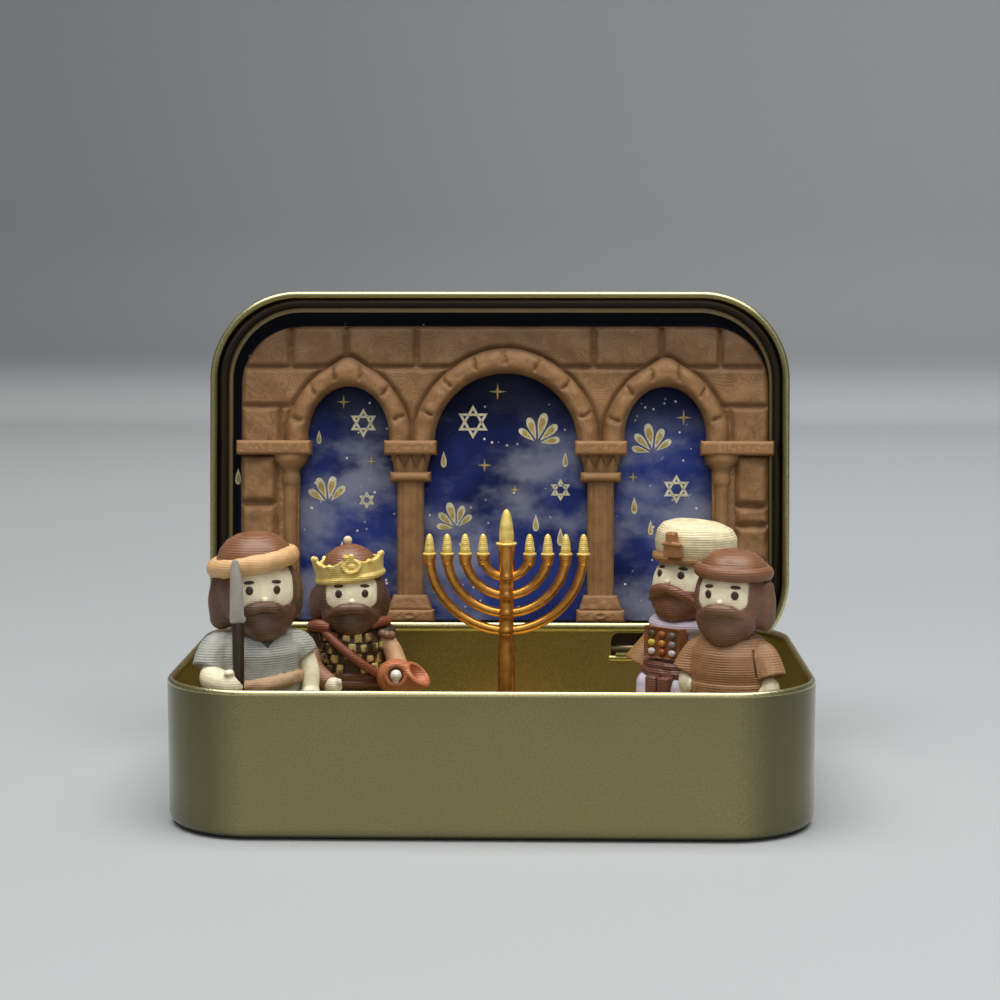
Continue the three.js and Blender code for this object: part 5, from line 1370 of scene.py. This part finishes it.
priest.wear(face_marks("priest_eyes_and_brows", PRIEST_HEAD, PRIEST_INNER, 34.2, 1.0), "priest_marks")

# %% Priest's turban
band = shaggy(ring(5.2, 0.7, (-0.1, -0.6, 36.4), name="priest_brow_band"), 0.05, 1.0)
priest.wear(priest.leaned(band, (-0.2, -0.6, 36.4), 3), "cloak_brown", "priest_band")
wrap = spun("turban", [(0, 36.2), (5.5, 36.3), (6.0, 37.0), (6.3, 38.4), (6.2, 40.0), (5.4, 41.2), (3.6, 41.9),
                       (1.6, 42.1), (0, 42.15)], 48, (0.2, -0.1, 0))
wrap = priest.leaned(melt("priest_turban_wrap", [wrap], 0.24, 2), (0.2, -0.1, 36), 6)
priest.wear(wrap, "cream_cloth", "priest_turban")
crest = [block("crest", (-0.2, -7.5, 37.1), (2.6, -6.0, 39.1), 0.2, 2),
         block("crest", (0.2, -7.7, 39.0), (1.9, -6.2, 41.0), 0.4, 2),
         block("crest", (-0.3, -7.8, 38.9), (3.0, -6.9, 39.4), 0.15, 2)]
priest.wear(melt("priest_crest_plate", crest, 0.13, 1), "crest_brown", "priest_crest")

# %% Priest's robe
coat = spun("coat", [(0, 17.3), (5.3, 17.3), (5.5, 17.6), (5.6, 21), (5.6, 24.4), (4.4, 27), (2.2, 28), (0, 28.1)],
            40, (-1.0, -0.8, 0), 0.85)
collar = ring(4.5, 1.1, (-0.7, -1.2, 26.2), 0.95)
priest.wear(melt("priest_robe_and_collar", [coat, collar]), "lilac_cloth", "priest_robe_top")
for side, word, low in ((-1, "left", 19.0), (1, "right", 20.9)):
    cape = tube([(side * 4.2, 0.4, 26.2), (side * 5.8, -0.8, 23.7), (side * 7.4, -2.8, low)], [1.1, 2.1, 3.2])
    priest.wear(melt(f"priest_cape_{word}", [cape], 0.2, 2), "cloak_brown", f"priest_sleeve_{word}")
priest.pleated_skirt("lilac_cloth", [(7.2, 0), (7.4, 0.3), (7.4, 17.2), (6.9, 18.3), (6.4, 18.6)], 14, 0.14,
                     (-0.8, -0.9, 0))

# %% Priest's breastplate and belt
board = block("priest_stone_board", (-4.2, -6.95, 21.3), (2.7, -4.8, 26.2), 0.22, 2)
pick(board, faces=lambda centre, normal: normal.y < -0.9)
bpy.ops.mesh.inset(thickness=0.36)
bpy.ops.transform.translate(value=(0, 0.3, 0))
done()
priest.wear(outward(board), "board_brown", "priest_breastplate", smooth=35)
STONES = (("#d8d4d0", "#a6562a", "#d8d4d0"), ("#d9bd4e", "#c98a2e", "#8f8a86"), ("#5b4a2c", "#a65f2c", "#6f6a66"))
STONE, STONE_LOOK = (0.66, 0.42, 0.56), (0.3, 0.02, 0.9)
for row, codes in enumerate(STONES):
    for step, code in enumerate(codes):
        name = f"stone_{row + 1}_{step + 1}"
        stone = melt(f"priest_{name}", [ball(STONE, (-2.7 + 1.92 * step, -6.8, 22.4 + 1.35 * row))], 0.11, 1)
        finishes[name] = (printed(name, code, *STONE_LOOK), "plate")
        priest.wear(stone, name)
girdle = melt("priest_girdle", [ring(6.05, 0.85, (-0.6, -0.8, 19.1)), ring(5.9, 0.75, (-0.6, -0.8, 20.2))], 0.16, 1)
priest.wear(shaggy(girdle, 0.1, 0.7), "belt_red", "priest_belt")
ends = [block("end", (x, -8.9, 9.5), (x + 1.95, -7.1, 18.9), 0.25, 3) for x in (-2.4, -0.1)]
priest.wear(joined("priest_girdle_ends", ends), "belt_red", "priest_belt_ends", smooth=40)

# %% [markdown]
# ## The elder
# In front of the priest stands a bearded elder in a soft cap with a rolled brim and a plain brown tunic with wide
# sleeves, hands hanging at the sides.

# %% Elder's head
elder = Figure("elder", 35.2, -16.6, -23)
lobes = [tube([(4.7, 0.4, 35), (5.0, 0.2, 32), (4.9, 0.2, 29.7)], [1.4, 1.65, 1.55]), ball(1.55, (4.9, 0.2, 29.5)),
         ball((1.3, 2.0, 3.4), (-4.6, 1.6, 31.8)), ball((4.6, 3.2, 3.9), (0, -2.4, 29.9)),
         ball((3.0, 2.5, 3.0), (0, -3.2, 28.5))]
parting = ([(4.25, -7, 36), (4.3, -7, 32), (4.0, -7, 27.6)], [0.16, 0.16, 0.3])
elder.bearded_head("elder_hair", (0, 0, 32.6), (5.5, 5.5, 6.2), (-3.8, 3.7, 31.5, 36.0), lobes, 31.6, 33.6, parting)
BRIM_AT, BRIM_LEAN = (0, 0, 36.3), 2.5
brim = melt("elder_rolled_brim", [ring(4.75, 1.1, (0.25, 0, 36.55))], 0.2, 2)
elder.wear(elder.leaned(brim, BRIM_AT, BRIM_LEAN), "cap_brown", "elder_brim")
soft_cap = spun("elder_soft_cap", [(0, 36.0), (4.8, 36.0), (5.1, 36.6), (4.9, 37.5), (4.2, 38.5), (3.0, 39.3),
                                   (1.4, 39.75), (0, 39.8)], 40, (0.25, 0, 0))
elder.wear(elder.leaned(soft_cap, BRIM_AT, BRIM_LEAN), "cap_brown", "elder_cap")

# %% Elder's tunic and hands
ELDER_FLAT = 0.85
coat = spun("coat", [(0, 18.7), (6.25, 18.7), (6.4, 18.9), (6.4, 20.3), (6.15, 20.5), (6.3, 22), (6.0, 24.6),
                     (4.6, 26.9), (2.2, 27.9), (0, 28)], 48, flat=ELDER_FLAT)
sleeves = [tube([(s * 2.4, 0, 26.0), (s * 5.0, -0.3, 24.0), (s * 6.3, -1.0, 21.2)], [1.4, 2.3, 2.5]) for s in (-1, 1)]
tunic = melt("elder_wide_tunic", [coat, *sleeves], 0.18, 2)
slit = block("slit", (-0.16, -9, -2.0), (0.16, -2.6, 2.0))
carve(tunic, put(slit, moved(4.6, 0, 23.6) @ turned(-10, "Y")))
elder.wear(tunic, "brown_robe", "elder_tunic", smooth=50)
elder.pleated_skirt("brown_robe", [(5.6, 0), (5.9, 0.3), (6.0, 9), (6.1, 18.6), (5.9, 18.9)], 14, 0.12,
                    flat=ELDER_FLAT)
for side, word, at, size in ((-1, "left", (-6.0, -1.6, 20.0), (1.5, 1.6, 2.2)),
                             (1, "right", (6.3, -1.4, 19.4), (1.6, 1.7, 2.2))):
    thumb = ball((0.6, 0.6, 1.0), (at[0] - side * 0.9, at[1] - 1.3, at[2] - 0.3))
    elder.wear(melt(f"elder_{word}_hand", [ball(size, at), thumb]), "skin", f"elder_hand_{word}")

# %% [markdown]
# ## The stage
# A pale floor sweeps up into a grey backdrop with no corner, as a photographer's paper roll does. The grey of the
# backdrop is painted shade, and the paper is painted darker towards the left and lighter further back, as painted
# light. The paper isn't part of the object. One soft lamp overhead gives the bright rims, together with the painted
# highlight on them, a weaker one fills the front, and the room adds a little light from behind the camera.

# %% Stage and lamps
FLOOR_START, FLOOR_END, BEND, PAPER_TOP = -1.5, 0.75, 0.1, 1.8
PAPER_WIDTH, BELOW_TIN = 3.2, 0.0002
SWEEP = [(FLOOR_START, 0.0), *[(FLOOR_END + BEND * math.sin(a), BEND - BEND * math.cos(a))
                               for a in [math.pi / 2 * i / 16 for i in range(17)]], (FLOOR_END + BEND, PAPER_TOP)]
paper = drawn("studio_paper", [(-PAPER_WIDTH / 2, y, z - BELOW_TIN) for y, z in SWEEP])
edit(paper)
pull((PAPER_WIDTH, 0, 0))
bpy.ops.mesh.normals_make_consistent(inside=False)
done()
bpy.ops.object.shade_smooth()
paper_finish, paper_place, paper_shader = new_finish("studio_paper", 0.75)
climb = paper_place.axis("Z").band(0.0, 0.035)
across = paper_place.axis("X").band(-0.35, 0.35)
along = paper_place.axis("Y").band(0.12, 0.75)
# Painted light and shade: the same paper is darker up the backdrop and towards the left, and lighter further back.
near_floor = across.blend("#a4a6a6", "#afb1b2")
far_floor = across.blend("#cccece", "#dcdee0")
backdrop = across.blend("#86878a", "#a4a7a8")
feed(paper_shader, Base_Color=climb.blend(along.blend(near_floor, far_floor), backdrop))
paper.data.materials.append(paper_finish)


def soft_lamp(name, at, size, watts, aim=(0, 0, 0.03)):
    data = bpy.data.lights.new(name, "AREA")
    data.shape = "RECTANGLE"
    data.size, data.size_y = size
    data.energy = watts
    lamp_object = bpy.data.objects.new(name, data)
    bpy.context.collection.objects.link(lamp_object)
    lamp_object.location = at
    lamp_object.rotation_euler = (Vector(aim) - Vector(at)).to_track_quat("-Z", "Y").to_euler()


soft_lamp("overhead", (0, -0.12, 0.75), (1.0, 0.64), 10.2, (0, -0.06, 0.03))
soft_lamp("front", (0.1, -0.9, 0.6), (0.8, 0.5), 1.4)
world = bpy.data.worlds.new("room")
world.use_nodes = True
sight = Wire(world.node_tree, world.node_tree.nodes.new("ShaderNodeTexCoord").outputs["Generated"])
ahead = (sight.axis("Y") * -1).band(0.2, 0.95)
room_light = ahead.blend((0.05, 0.051, 0.052, 1), (0.26, 0.262, 0.265, 1))
world.node_tree.links.new(room_light.socket, world.node_tree.nodes["Background"].inputs["Color"])
bpy.context.scene.world = world
